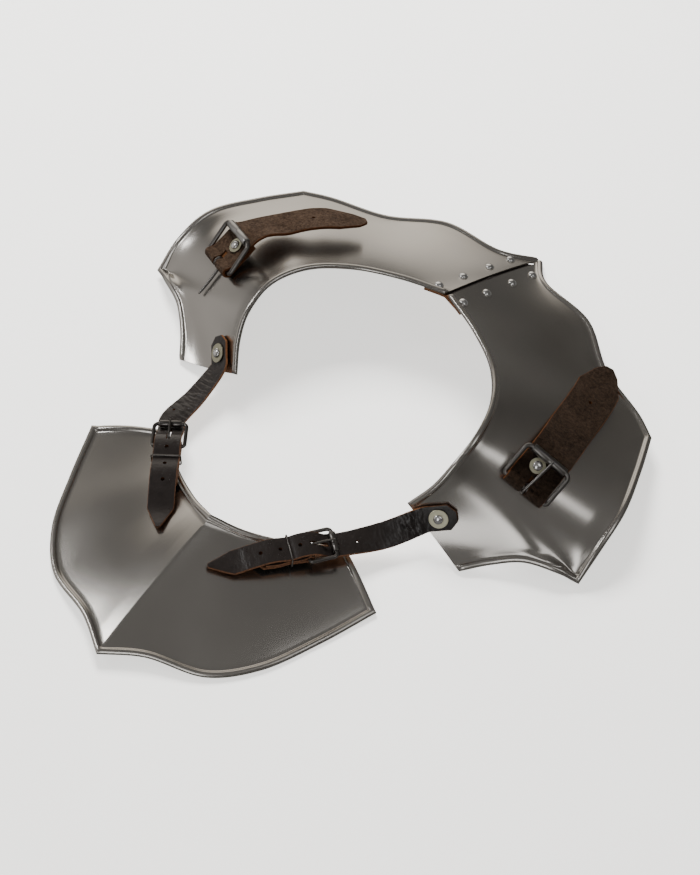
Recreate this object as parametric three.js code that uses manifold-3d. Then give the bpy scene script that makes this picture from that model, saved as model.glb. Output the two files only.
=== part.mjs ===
// A steel gorget, the collar of a suit of armour, lying open on a flat surface: two back plates joined
// by a leather hinge, a front plate with a middle ridge, two buckled neck straps and two shoulder straps.
// Millimetres, +Z up, +Y towards the wearer's back, +X towards the wearer's left.
import * as THREE from "three";
import { mergeVertices } from "three/addons/utils/BufferGeometryUtils.js";
import Module from "manifold-3d";

const wasm = await Module();
wasm.setup();

// Driving dimensions: sheet steel.
const SHEET = 1.2;
const BEAD_WIDTH = 5.6;
const BEAD_HEIGHT = 2.4;
const FLARE = 3.5;
// Beside the seam the plates bow the other way, by this share of the flare, over this run of the first span.
const SEAM_BOW = { share: 0.4, run: 0.35 };
const SEAM_GAP = 3.2;

// Driving dimensions: back plates, upper face, measured from the neck's axis and the ground.
const NECK_RADIUS = 92;
const NECK_RISE = 66;
const BACK_REACH = 196;
const BACK_CORNER = { out: 159, back: 121, rise: 15 };
const SHOULDER_CORNER = { out: 192, back: 6, rise: 4 };
const FRONT_CORNER = { out: 127.5, back: -38, rise: 2 };
const GROUND_RISE = 2;

// Driving dimensions: front plate, in its own frame, and how it lies in front of the back plates.
const FRONT_HALF_WIDTH = 121;
const FRONT_TOP_SLOPE = { in: 46.5, up: 26 };
const FRONT_NECK_DROP = 18.5;
const FRONT_LENGTH = 135.5;
const RIDGE_RISE = { neck: 27, tip: 7 };
const FRONT_RISE = { corner: 1.8, neckCorner: 7 };
const FRONT_BULGE = 2.5;
const FRONT_PLACE = { right: -11.9, back: -107.7, turn: 4.8 };

// Driving dimensions: leather, rivets and washers.
const GAP = 0.3;
const NECK_LEATHER = 2;
const NECK_STRAP_WIDTH = 18;
const SUEDE = 2.4;
const SHOULDER_STRAP_WIDTH = 30.5;
const HINGE_LEATHER = 2;
const HINGE_GAP = 0.45;
const SHANK_RADIUS = 1.5;
const BURR = { radius: 2.6, height: 0.9 };
const SEAM_HEAD = { radius: 3.2, height: 2 };
const STRAP_HEAD = { radius: 3.4, height: 2 };
const HIDDEN_HEAD = { radius: 3, height: 1.1 };
const WASHER = { neck: 6.6, shoulder: 5.4, thickness: 0.8 };

// Driving dimensions: buckles. reach is from the strap's bar to the roller's bar.
const SHOULDER_BUCKLE = {
  wire: 1.6, roller: 2.9, reach: 24, corner: 3.6, prong: 1.1, strap: SHOULDER_STRAP_WIDTH,
};
const NECK_BUCKLE = { wire: 1.3, roller: 2.4, reach: 18, corner: 3, prong: 0.95, strap: NECK_STRAP_WIDTH };
const BAR_CORNER = 1.9;
const SIDE_PLAY = 0.6;
const KEEPER_WIRE = 0.55;

// Facets between the corners of the plates.
const BACK_STEPS = [12, 10, 9];
const FRONT_STEPS = 14;

// The bead's section: share of its width from the plate's edge, and share of its height.
const BEAD = [
  { across: 0, rise: 0.2 },
  { across: 0.2, rise: 0.85 },
  { across: 0.55, rise: 1 },
  { across: 1, rise: 0 },
];

// Points between the corners of an edge: shares of the corners' distance along it, outwards and up.
const BACK_EDGE = [
  { along: 0.153, out: -0.054, up: 0.05 },
  { along: 0.39, out: 0.02, up: 0.035 },
  { along: 0.64, out: -0.016, up: 0.015 },
  { along: 0.886, out: 0.008, up: 0 },
];
const SHOULDER_EDGE = [
  { along: 0.283, out: 0.049, up: 0.09 },
  { along: 0.6, out: 0.083, up: 0.165 },
  { along: 0.82, out: 0.051, up: 0.12 },
];
const FRONT_EDGE = [
  { along: 0.17, out: -0.03, up: 0.075 },
  { along: 0.47, out: -0.09, up: 0.1 },
  { along: 0.75, out: -0.065, up: 0.045 },
];
// The neck edge: degrees round from the middle of the back, shares of the neck's radius and rise.
const NECK_EDGE = [
  { turn: 0, radius: 1.01, rise: 0.93 },
  { turn: 22, radius: 0.96, rise: 0.925 },
  { turn: 43, radius: 0.98, rise: 0.94 },
  { turn: 63, radius: 1, rise: 1 },
  { turn: 80, radius: 1.005, rise: 0.985 },
  { turn: 93.5, radius: 0.99, rise: 0.84 },
  { turn: 102.5, radius: 0.965, rise: 0.63 },
  { turn: 113, radius: 0.91, rise: 0.39 },
];
// Shares of the neck edge that lie across from the back and shoulder corners.
const NECK_STOPS = [0, 0.4, 0.72, 1];
const FRONT_SIDE = [
  { along: 0.216, out: 0.085, up: -0.012 },
  { along: 0.442, out: 0.154, up: -0.016 },
  { along: 0.638, out: 0.149, up: -0.016 },
  { along: 0.839, out: 0.045, up: 0.006 },
];
const FRONT_NECK = [
  { along: 0.375, out: 0.057, up: -0.03 },
  { along: 0.74, out: 0.042, up: -0.045 },
];

const vec = (x, y, z) => new THREE.Vector3(x, y, z);
const mix = (a, b, t) => a.clone().lerp(b, t);
const step = (p, ...moves) => {
  const out = p.clone();
  for (const [direction, distance] of moves) out.addScaledVector(direction, distance);
  return out;
};

// Closed body through rings of points. Open lofts get flat ends.
function loft(rings, closed = false) {
  const n = rings[0].length;
  const faces = [];
  const spans = closed ? rings.length : rings.length - 1;
  for (let i = 0; i < spans; i++) {
    const lower = i * n;
    const upper = ((i + 1) % rings.length) * n;
    for (let j = 0; j < n; j++) {
      const k = (j + 1) % n;
      faces.push(lower + j, lower + k, upper + k, lower + j, upper + k, upper + j);
    }
  }
  if (!closed) {
    faces.push(...endFaces(rings[0], 0, true));
    faces.push(...endFaces(rings.at(-1), (rings.length - 1) * n, false));
  }
  const points = rings.flat();
  let volume = 0;
  for (let i = 0; i < faces.length; i += 3) {
    const [a, b, c] = [0, 1, 2].map((k) => points[faces[i + k]]);
    volume += a.dot(b.clone().cross(c));
  }
  if (volume < 0) faces.reverse();
  const geometry = new THREE.BufferGeometry().setFromPoints(points);
  geometry.setIndex(faces);
  return geometry;
}

// Triangles that close a flat ring; backwards turns them round for the first ring of a loft.
function endFaces(ring, first, backwards) {
  const centre = ring.reduce((sum, p) => sum.add(p), vec(0, 0, 0)).divideScalar(ring.length);
  const normal = vec(0, 0, 0);
  const arms = ring.map((p) => p.clone().sub(centre));
  arms.forEach((arm, i) => normal.add(arm.clone().cross(arms[(i + 1) % arms.length])));
  normal.normalize();
  const x = step(ring[0], [centre, -1]).projectOnPlane(normal).normalize();
  const y = normal.clone().cross(x);
  const flat = arms.map((arm) => new THREE.Vector2(arm.dot(x), arm.dot(y)));
  return THREE.ShapeUtils.triangulateShape(flat, []).flatMap((triangle) => {
    const [a, b, c] = triangle.map((i) => flat[i]);
    const turned = b.clone().sub(a).cross(c.clone().sub(a)) < 0;
    const order = turned !== backwards ? [2, 1, 0] : [0, 1, 2];
    return order.map((i) => first + triangle[i]);
  });
}

// Round wire of the given radius along points; up is any direction off the path's plane.
function wire(points, radius, sides, up, closed = false) {
  const last = points.length - 1;
  const rings = points.map((p, i) => {
    const before = points[i ? i - 1 : closed ? last : 0];
    const after = points[i < last ? i + 1 : closed ? 0 : last];
    const along = after.clone().sub(before).normalize();
    const across = up.clone().cross(along).normalize();
    const over = along.clone().cross(across);
    return Array.from({ length: sides }, (_, k) => {
      const angle = ((k + 0.5) / sides) * Math.PI * 2;
      const reach = Array.isArray(radius) ? radius[i] : radius;
      return step(p, [across, Math.cos(angle) * reach], [over, Math.sin(angle) * reach]);
    });
  });
  return loft(rings, closed);
}

// A copy with only positions, its doubled points joined.
function joined(geometry) {
  const bare = new THREE.BufferGeometry();
  bare.setAttribute("position", geometry.getAttribute("position").clone());
  if (geometry.index) bare.setIndex(geometry.index.clone());
  return mergeVertices(bare, 1e-4);
}

function toSolid(geometry) {
  const closed = joined(geometry);
  const vertProperties = new Float32Array(closed.getAttribute("position").array);
  const triVerts = new Uint32Array(closed.index.array);
  return new wasm.Manifold(new wasm.Mesh({ numProp: 3, vertProperties, triVerts }));
}

function toGeometry(solid) {
  const { vertProperties, triVerts } = solid.getMesh();
  const geometry = new THREE.BufferGeometry();
  geometry.setAttribute("position", new THREE.BufferAttribute(new Float32Array(vertProperties), 3));
  geometry.setIndex(new THREE.BufferAttribute(new Uint32Array(triVerts), 1));
  return geometry;
}

// geometry with each cutter taken away; a cutter is a geometry in the same frame.
function cut(geometry, cutters) {
  const left = cutters.reduce((solid, cutter) => solid.subtract(toSolid(cutter)), toSolid(geometry));
  return toGeometry(left);
}

// A frame whose Z is up and whose X leans towards along.
function frameAt(origin, up, along) {
  const z = up.clone().normalize();
  const x = along.clone().projectOnPlane(z).normalize();
  const y = z.clone().cross(x);
  return new THREE.Matrix4().makeBasis(x, y, z).setPosition(origin);
}

// A straight round hole through whatever lies within depth of the frame's origin.
function drill(frame, radius, depth, sides = 8) {
  const hole = new THREE.CylinderGeometry(radius, radius, 2 * depth, sides);
  return hole.rotateX(Math.PI / 2).applyMatrix4(frame);
}

const material = (color, roughness, metalness) =>
  new THREE.MeshStandardMaterial({ color, roughness, metalness });
const STEEL = material(0x8e8b87, 0.32, 1);
const DARK_METAL = material(0x3a3836, 0.4, 1);
const BRIGHT_METAL = material(0xc9c8c4, 0.22, 1);
const PALE_METAL = material(0xc8c3a6, 0.4, 0.8);
const BLACK_LEATHER = material(0x1f1b1a, 0.45, 0);
const BROWN_SUEDE = material(0x3d2b22, 0.9, 0);

const gorget = new THREE.Group();
function add(name, geometry, finish, frame) {
  const mesh = new THREE.Mesh(geometry, finish);
  mesh.name = name;
  if (frame) frame.decompose(mesh.position, mesh.quaternion, mesh.scale);
  gorget.add(mesh);
}

// Edge from a to b through table points; outwards is the side of the plan that out leans to.
function edgeCurve(a, b, table, outwards) {
  const chord = b.clone().sub(a);
  const along = chord.clone().setZ(0);
  const length = along.length();
  const side = vec(along.y, -along.x, 0).divideScalar(length);
  if (side.dot(outwards) < 0) side.negate();
  const between = table.map((row) =>
    step(a, [chord, row.along], [side, row.out * length]).add(vec(0, 0, row.up * length)),
  );
  return new THREE.CatmullRomCurve3([a, ...between, b]);
}

// Lines across a plate, from its outer edge to its neck edge. Each has both ends, the direction in the
// sheet that a bead is measured along there, and the sheet's normal. spans holds an outer and a neck
// curve for each stretch between corners; with beadedEnds the plate's two ends have a bead as well.
function crossLines(spans, beadedEnds) {
  const lines = [];
  spans.forEach(({ outer, neck, steps }, k) => {
    const places = Array.from({ length: steps + 1 }, (_, i) => ({ outer: i / steps, neck: i / steps }));
    if (beadedEnds && k === 0) places.splice(0, 1, ...endPlaces(outer, neck, 0, 1));
    if (beadedEnds && k === spans.length - 1) {
      places.splice(-1, 1, ...endPlaces(outer, neck, 1, -1).reverse());
    }
    places.forEach((place, i) => {
      if (k && i === 0) return;
      const corner = place.outer === 1 && k + 1 < spans.length ? spans[k + 1] : null;
      const from = outer.getPointAt(place.outer);
      const to = neck.getPointAt(place.neck);
      const atEnd = !corner && (place.outer === 0 || place.outer === 1);
      const endEdge = place.inset !== undefined || (!beadedEnds && atEnd);
      const inwards = to.clone().sub(from).normalize();
      lines.push({
        at: k + place.outer,
        inset: place.inset,
        from,
        to,
        fromBead: beadDirection(
          inwards, outer.getTangentAt(place.outer), corner?.outer.getTangentAt(0), endEdge,
        ),
        toBead: beadDirection(
          inwards.clone().negate(),
          neck.getTangentAt(place.neck),
          corner?.neck.getTangentAt(0),
          endEdge,
        ),
        normal: inwards.clone().cross(outer.getTangentAt(place.outer)).normalize(),
      });
    });
  });
  for (const line of lines) if (line.normal.z < 0) line.normal.negate();
  return lines;
}

// Where the lines of a beaded end cross the two edges: at the bead's own section points.
function endPlaces(outer, neck, end, sign) {
  const endEdge = neck.getPointAt(end).sub(outer.getPointAt(end)).normalize();
  const share = (curve, inset) => {
    const slant = curve.getTangentAt(end).cross(endEdge).length();
    return end + (sign * inset) / (curve.getLength() * slant);
  };
  return BEAD.map(({ across }) => {
    const inset = across * BEAD_WIDTH;
    return { inset, outer: share(outer, inset), neck: share(neck, inset) };
  });
}

// Across an edge within the sheet; at a corner it is the mitre, and at a plate's end it runs along the end.
function beadDirection(inwards, tangent, nextTangent, endEdge) {
  if (endEdge) return inwards.clone().divideScalar(tangent.clone().cross(inwards).length());
  const square = (t) => inwards.clone().projectOnPlane(t).normalize();
  const first = square(tangent);
  if (!nextTangent) return first;
  const second = square(nextTangent);
  return first.clone().add(second).divideScalar(1 + first.dot(second));
}

function beadRise(distance) {
  const share = distance / BEAD_WIDTH;
  if (share >= 1) return 0;
  const next = BEAD.findIndex((point) => point.across > share + 1e-9);
  const [a, b] = [BEAD[next - 1], BEAD[next]];
  return BEAD_HEIGHT * THREE.MathUtils.mapLinear(share, a.across, b.across, a.rise, b.rise);
}

// A sheet between two edges with a raised bead along them. bow raises or lowers its middle.
class Plate {
  constructor(name, lines, bow, seamBow = bow) {
    this.lines = lines;
    this.bow = bow;
    this.seamBow = seamBow;
    this.name = name;
    this.geometry = loft(lines.map((line) => this.section(line)));
    this.holes = [];
  }

  // Point of the upper face on a line: share v of the way between the two beads.
  onLine(line, v) {
    const low = step(line.from, [line.fromBead, BEAD_WIDTH]);
    const high = step(line.to, [line.toBead, BEAD_WIDTH]);
    const share = THREE.MathUtils.smoothstep(line.at, 0, SEAM_BOW.run);
    const bow = THREE.MathUtils.lerp(this.seamBow, this.bow, share);
    return step(mix(low, high, v), [line.normal, bow * Math.max(0, 4 * v * (1 - v))]);
  }

  section(line) {
    const rise = (across) => beadRise(Math.min(across * BEAD_WIDTH, line.inset ?? Infinity));
    const edge = (start, direction) =>
      BEAD.slice(0, -1).map(({ across }) =>
        step(start, [direction, across * BEAD_WIDTH], [line.normal, rise(across)]),
      );
    const middle = [0, 0.25, 0.5, 0.75, 1].map((v) => this.onLine(line, v));
    const level = line.inset === undefined ? 0 : beadRise(line.inset);
    const top = [
      ...edge(line.from, line.fromBead),
      ...middle.map((p) => step(p, [line.normal, level])),
      ...edge(line.to, line.toBead).reverse(),
    ];
    const bottom = [line.to, ...middle.toReversed(), line.from].map((p) => step(p, [line.normal, -SHEET]));
    return [...top, ...bottom];
  }

  // Point and normal of the upper face: at counts spans from the plate's first end.
  spot(at, v) {
    const i = Math.max(1, this.lines.findIndex((line) => line.at >= at));
    const [a, b] = [this.lines[i - 1], this.lines[i]];
    const share = (at - a.at) / (b.at - a.at);
    const point = mix(this.onLine(a, v), this.onLine(b, v), share);
    const along = this.onLine(b, v).sub(this.onLine(a, v));
    const across = this.onLine(a, Math.min(1, v + 0.1)).sub(this.onLine(a, Math.max(0, v - 0.1)));
    const normal = across.cross(along).normalize();
    if (normal.z < 0) normal.negate();
    return { point, normal };
  }

  // How far below p, along normal, the plate's upper face lies; bead and sheet alike.
  depth(p, normal) {
    const probe = new THREE.Mesh(this.geometry, new THREE.MeshBasicMaterial());
    const far = 60;
    const ray = new THREE.Raycaster(step(p, [normal, far]), normal.clone().negate());
    const hit = ray.intersectObject(probe)[0];
    return hit ? hit.distance - far : null;
  }

  add() {
    add(this.name, cut(this.geometry, this.holes), STEEL);
  }
}

// Back plates. side is 1 on the wearer's left and -1 on the right.
function backPlate(name, side) {
  const corner = ({ out, back, rise }) => vec(side * out, back, rise);
  const neckPoint = ({ turn, radius, rise }) => {
    const angle = THREE.MathUtils.degToRad(turn);
    const reach = radius * NECK_RADIUS;
    return vec(side * reach * Math.sin(angle), reach * Math.cos(angle), rise * NECK_RISE);
  };
  const seam = vec((side * SEAM_GAP) / 2, 0, 0);
  const tip = vec(0, BACK_REACH, GROUND_RISE).add(seam);
  const corners = [tip, corner(BACK_CORNER), corner(SHOULDER_CORNER), corner(FRONT_CORNER)];
  const outwards = [vec(side, 2, 0), vec(side, 0, 0), vec(side, -1, 0)];
  const neckPoints = NECK_EDGE.map(neckPoint);
  neckPoints[0].add(seam);
  const neck = new THREE.CatmullRomCurve3(neckPoints);
  const spans = [BACK_EDGE, SHOULDER_EDGE, FRONT_EDGE].map((table, k) => ({
    outer: edgeCurve(corners[k], corners[k + 1], table, outwards[k]),
    neck: stretch(neck, NECK_STOPS[k], NECK_STOPS[k + 1]),
    steps: BACK_STEPS[k],
  }));
  return new Plate(name, crossLines(spans, false), -FLARE, SEAM_BOW.share * FLARE);
}

// The part of a curve between two shares of its length.
function stretch(curve, start, end) {
  const count = 9;
  return new THREE.CatmullRomCurve3(
    Array.from({ length: count }, (_, i) =>
      curve.getPointAt(THREE.MathUtils.lerp(start, end, i / (count - 1))),
    ),
  );
}

function frontPlate(name) {
  const turn = THREE.MathUtils.degToRad(FRONT_PLACE.turn);
  const place = (p) =>
    p.applyAxisAngle(vec(0, 0, 1), turn).add(vec(FRONT_PLACE.right, FRONT_PLACE.back, 0));
  const half = (side) => {
    const corner = vec(side * FRONT_HALF_WIDTH, 0, FRONT_RISE.corner);
    const neckCorner = vec(
      side * (FRONT_HALF_WIDTH - FRONT_TOP_SLOPE.in),
      FRONT_TOP_SLOPE.up,
      FRONT_RISE.neckCorner,
    );
    const tip = vec(0, -FRONT_LENGTH, RIDGE_RISE.tip);
    const neckMiddle = vec(0, -FRONT_NECK_DROP, RIDGE_RISE.neck);
    return {
      outer: edgeCurve(corner, tip, FRONT_SIDE, vec(side, -1, 0)),
      neck: edgeCurve(neckCorner, neckMiddle, FRONT_NECK, vec(side, -1, 0)),
    };
  };
  const placed = (curve, backwards) => {
    const points = curve.points.map((p) => place(p.clone()));
    return new THREE.CatmullRomCurve3(backwards ? points.reverse() : points);
  };
  const spans = [half(1), half(-1)].map(({ outer, neck }, k) => ({
    outer: placed(outer, k === 1),
    neck: placed(neck, k === 1),
    steps: FRONT_STEPS,
  }));
  return new Plate(name, crossLines(spans, true), FRONT_BULGE);
}

const backLeft = backPlate("back_plate_left", 1);
const backRight = backPlate("back_plate_right", -1);
const front = frontPlate("front_plate");

// Where a strap's hardware sits: a frame on a plate whose x runs to the roller, with z off the plate.
// level is the height of the plate's highest spot under the hardware, over z.
function seatOn(plate, at, v, heading, from, to, half) {
  const { point, normal } = plate.spot(at, v);
  const frame = frameAt(point, normal, heading);
  const [x, y, z] = [vec(), vec(), vec()];
  frame.extractBasis(x, y, z);
  const seat = { plate, frame, origin: point, x, y, z };
  const places = Array.from({ length: 7 }, (_, i) => THREE.MathUtils.lerp(from, to, i / 6));
  seat.level = Math.max(...places.map((along) => highest(seat, along, half)));
  return seat;
}

// Height over a seat's origin of the highest spot of its plate under a strip crossing at along.
function highest(seat, along, half) {
  const spots = [-1, -0.5, 0, 0.5, 1].flatMap((share) =>
    [-2, 0, 2].map((more) => [along + more, share * half]),
  );
  const heights = spots
    .map(([x, y]) => seat.plate.depth(step(seat.origin, [seat.x, x], [seat.y, y]), seat.z))
    .filter((depth) => depth !== null)
    .map((depth) => -depth);
  return heights.length ? Math.max(...heights) : 0;
}

// Point over the plate that a strip of that half width clears by height.
function over(seat, along, height, half) {
  return step(seat.origin, [seat.x, along], [seat.z, highest(seat, along, half) + height]);
}

// Point at a height over the seat's own flat level.
function flat(seat, along, height, across = 0) {
  return step(seat.origin, [seat.x, along], [seat.y, across], [seat.z, seat.level + height]);
}

// Flat strip through points. ups gives its upper side at each point, halves its half width. The first
// folded rings lie across one fixed direction, so that the strip can turn back over itself.
function strip(points, ups, halves, thickness, across = null, folded = 0) {
  return loft(
    points.map((p, i) => {
      const ahead = points[Math.min(i + 1, points.length - 1)];
      const along = ahead.clone().sub(points[Math.max(i - 1, 0)]).normalize();
      const side = i < folded ? across : ups[i].clone().cross(along).normalize();
      const top = along.clone().cross(side).normalize();
      return [[1, 1], [-1, 1], [-1, -1], [1, -1]].map(([s, t]) =>
        step(p, [side, s * halves[i]], [top, (t * thickness) / 2]),
      );
    }),
  );
}

// Strip along a smooth path of {point, up} controls. starts and ends shape its two ends: rows of the
// distance from the end and the share of the half width there.
function strapAlong(controls, width, thickness, starts, ends, perSpan) {
  const curve = new THREE.CatmullRomCurve3(controls.map((c) => c.point));
  const ups = new THREE.CatmullRomCurve3(controls.map((c) => c.up));
  const count = (controls.length - 1) * perSpan;
  const total = curve.getLength();
  const shares = new Set(Array.from({ length: count + 1 }, (_, i) => curve.getUtoTmapping(i / count)));
  for (const { distance } of starts) shares.add(curve.getUtoTmapping(distance / total));
  for (const { distance } of ends) shares.add(curve.getUtoTmapping(1 - distance / total));
  const ts = [...shares].sort((a, b) => a - b).filter((t, i, all) => !i || t - all[i - 1] > 1e-4);
  const lengths = ts.map((t) => lengthTo(curve, t));
  const halves = lengths.map((d) => (width / 2) * Math.min(shapeAt(starts, d), shapeAt(ends, total - d)));
  return strip(
    ts.map((t) => curve.getPoint(t)),
    ts.map((t) => ups.getPoint(t)),
    halves,
    thickness,
  );
}

function lengthTo(curve, t) {
  const lengths = curve.getLengths();
  const place = t * (lengths.length - 1);
  const low = Math.floor(place);
  const high = Math.min(low + 1, lengths.length - 1);
  return THREE.MathUtils.lerp(lengths[low], lengths[high], place - low);
}

function shapeAt(rows, distance) {
  const next = rows.findIndex((row) => row.distance > distance);
  if (next < 0) return 1;
  if (next === 0) return rows[0].share;
  const [a, b] = [rows[next - 1], rows[next]];
  return THREE.MathUtils.mapLinear(distance, a.distance, b.distance, a.share, b.share);
}

// Distance down a frame's Z to the underside of a plate, at the deepest spot under a burr.
function through(plate, frame) {
  const [x, y, z] = [vec(), vec(), vec()];
  frame.extractBasis(x, y, z);
  const origin = vec().setFromMatrixPosition(frame);
  const depths = [[0, 0], [1, 0], [-1, 0], [0, 1], [0, -1]].map(([right, up]) =>
    plate.depth(step(origin, [x, right * BURR.radius], [y, up * BURR.radius]), z),
  );
  return Math.max(...depths) + SHEET;
}

// Rivet standing on a frame: a domed head, a shank down through grip, and a burr behind it.
function rivet(name, frame, head, grip, finish) {
  const profile = [
    [0, -grip - GAP - BURR.height],
    [BURR.radius * 0.75, -grip - GAP - BURR.height],
    [BURR.radius, -grip - GAP],
    [SHANK_RADIUS, -grip - GAP],
    [SHANK_RADIUS, GAP],
    [head.radius, GAP],
    [head.radius * 0.72, GAP + head.height * 0.75],
    [0, GAP + head.height],
  ].map(([r, z]) => new THREE.Vector2(r, z));
  const geometry = new THREE.LatheGeometry(profile, 8).rotateX(Math.PI / 2);
  add(name, joined(geometry), finish, frame);
}

// Tube or ring with a hole through it, its axis along the frame's Y.
function sleeve(name, frame, outer, inner, length, sides, finish) {
  const h = length / 2;
  const section = [[inner, -h], [outer, -h], [outer, h], [inner, h], [inner, -h]];
  const profile = section.map(([r, y]) => new THREE.Vector2(r, y));
  add(name, joined(new THREE.LatheGeometry(profile, sides)), finish, frame);
}

// Washer lying on a frame under a rivet's head.
function washer(name, frame, radius) {
  const lying = frame.clone().multiply(new THREE.Matrix4().makeRotationX(Math.PI / 2));
  const up = vec().setFromMatrixColumn(frame, 2);
  lying.setPosition(step(vec().setFromMatrixPosition(frame), [up, GAP + WASHER.thickness / 2]));
  sleeve(name, lying, radius, SHANK_RADIUS + GAP, WASHER.thickness, 12, PALE_METAL);
}

// Frame, roller and prong of a buckle. bar and rollerBar are the middles of the frame's two bars, and
// lean turns the prong back from the roller, in degrees; aside shifts its tip along the bar. Returns the
// room that the prong needs.
function buckle(prefix, size, seat, bar, rollerBar, lean, aside) {
  const half = size.strap / 2 + SIDE_PLAY + size.wire;
  const x = rollerBar.clone().sub(bar).normalize();
  const y = seat.y;
  const z = x.clone().cross(y);
  const reach = rollerBar.distanceTo(bar);
  const quarter = (radius, end, side, start) =>
    [0, 30, 60, 90].map((turn) => {
      const angle = THREE.MathUtils.degToRad(start + turn);
      const centre = end + (end ? -radius : radius);
      return step(
        bar,
        [x, centre + radius * Math.cos(angle)],
        [y, side * (half - radius) + radius * Math.sin(angle)],
      );
    });
  const inY = half - size.corner;
  const loop = [
    ...quarter(size.corner, reach, 1, 0),
    ...quarter(BAR_CORNER, 0, 1, 90),
    ...quarter(BAR_CORNER, 0, -1, 180),
    ...quarter(size.corner, reach, -1, 270),
  ];
  add(prefix + "_buckle_frame", wire(loop, size.wire, 6, z, true), DARK_METAL);
  const rollerFrame = new THREE.Matrix4().makeBasis(x, y, z).setPosition(rollerBar);
  sleeve(prefix + "_buckle_roller", rollerFrame, size.roller, size.wire + GAP, 2 * inY - 1, 12, DARK_METAL);

  const curl = size.wire + GAP + size.prong;
  const tip = vec(reach + 1, aside, size.roller + GAP + size.prong);
  const curled = [0, -45, -90, -135, -180, -225, -270].map((turn) => {
    const angle = THREE.MathUtils.degToRad(turn);
    return vec(curl * Math.cos(angle), 0, curl * Math.sin(angle));
  });
  const run = (share, slim) => ({ p: mix(curled[6], tip, share), r: size.prong * slim });
  const rows = [...curled.map((p) => ({ p, r: size.prong })), run(0.3, 1), run(0.75, 0.95), run(1, 0.75)];
  const turned = rows.map(({ p, r }) => {
    const q = p.applyAxisAngle(vec(0, 1, 0), THREE.MathUtils.degToRad(-lean));
    return { p: step(bar, [x, q.x], [y, q.y], [z, q.z]), r };
  });
  const points = turned.map((row) => row.p);
  add(prefix + "_buckle_prong", wire(points, turned.map((row) => row.r), 6, y), DARK_METAL);
  return wire(points, turned.map((row) => row.r + GAP), 6, y);
}

// Points round a buckle's bar for the middle of a leather layer, in a seat's along and height.
function foldPoints(bar, seat, radius, from, to) {
  return [0, 0.2, 0.4, 0.6, 0.8, 1].map((share) => {
    const angle = THREE.MathUtils.degToRad(THREE.MathUtils.lerp(from, to, share));
    return step(bar, [seat.x, radius * Math.cos(angle)], [seat.z, radius * Math.sin(angle)]);
  });
}

// Box in a seat's frame between two corners.
function block(seat, low, high) {
  const size = high.clone().sub(low);
  const middle = low.clone().add(high).multiplyScalar(0.5);
  return new THREE.BoxGeometry(size.x, size.y, size.z)
    .applyMatrix4(new THREE.Matrix4().makeTranslation(middle.x, middle.y, middle.z))
    .applyMatrix4(seat.frame);
}

const CHAMFERED = [{ distance: 0, share: 0.45 }, { distance: 5, share: 1 }];
const NECK_TIP = [{ distance: 0, share: 0.22 }, { distance: 16, share: 1 }];
const SHOULDER_TIP = [
  { distance: 0, share: 0.22 }, { distance: 7, share: 0.55 }, { distance: 25, share: 1 },
];

// Shoulder strap: folded round the buckle's bar, riveted through both layers, with a long free end.
const SHOULDER_RIVET = { along: 16.5, across: 3.2 };
const UNDER_LENGTH = 25;
// A slit's width, how far it runs in front of and behind the bar, and how far its cutter goes down and up.
const SLIT = { width: 3.8, front: 9, back: 12, over: 3, down: 3, up: 20 };
const NECK_SLIT_FRONT = 5;
const PUNCH = { radius: 1.3, depth: 16, tipDepth: 5, sides: 6 };
const DRILL_DEPTH = 14;
const TIP_HOLE = 0.62;

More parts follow.
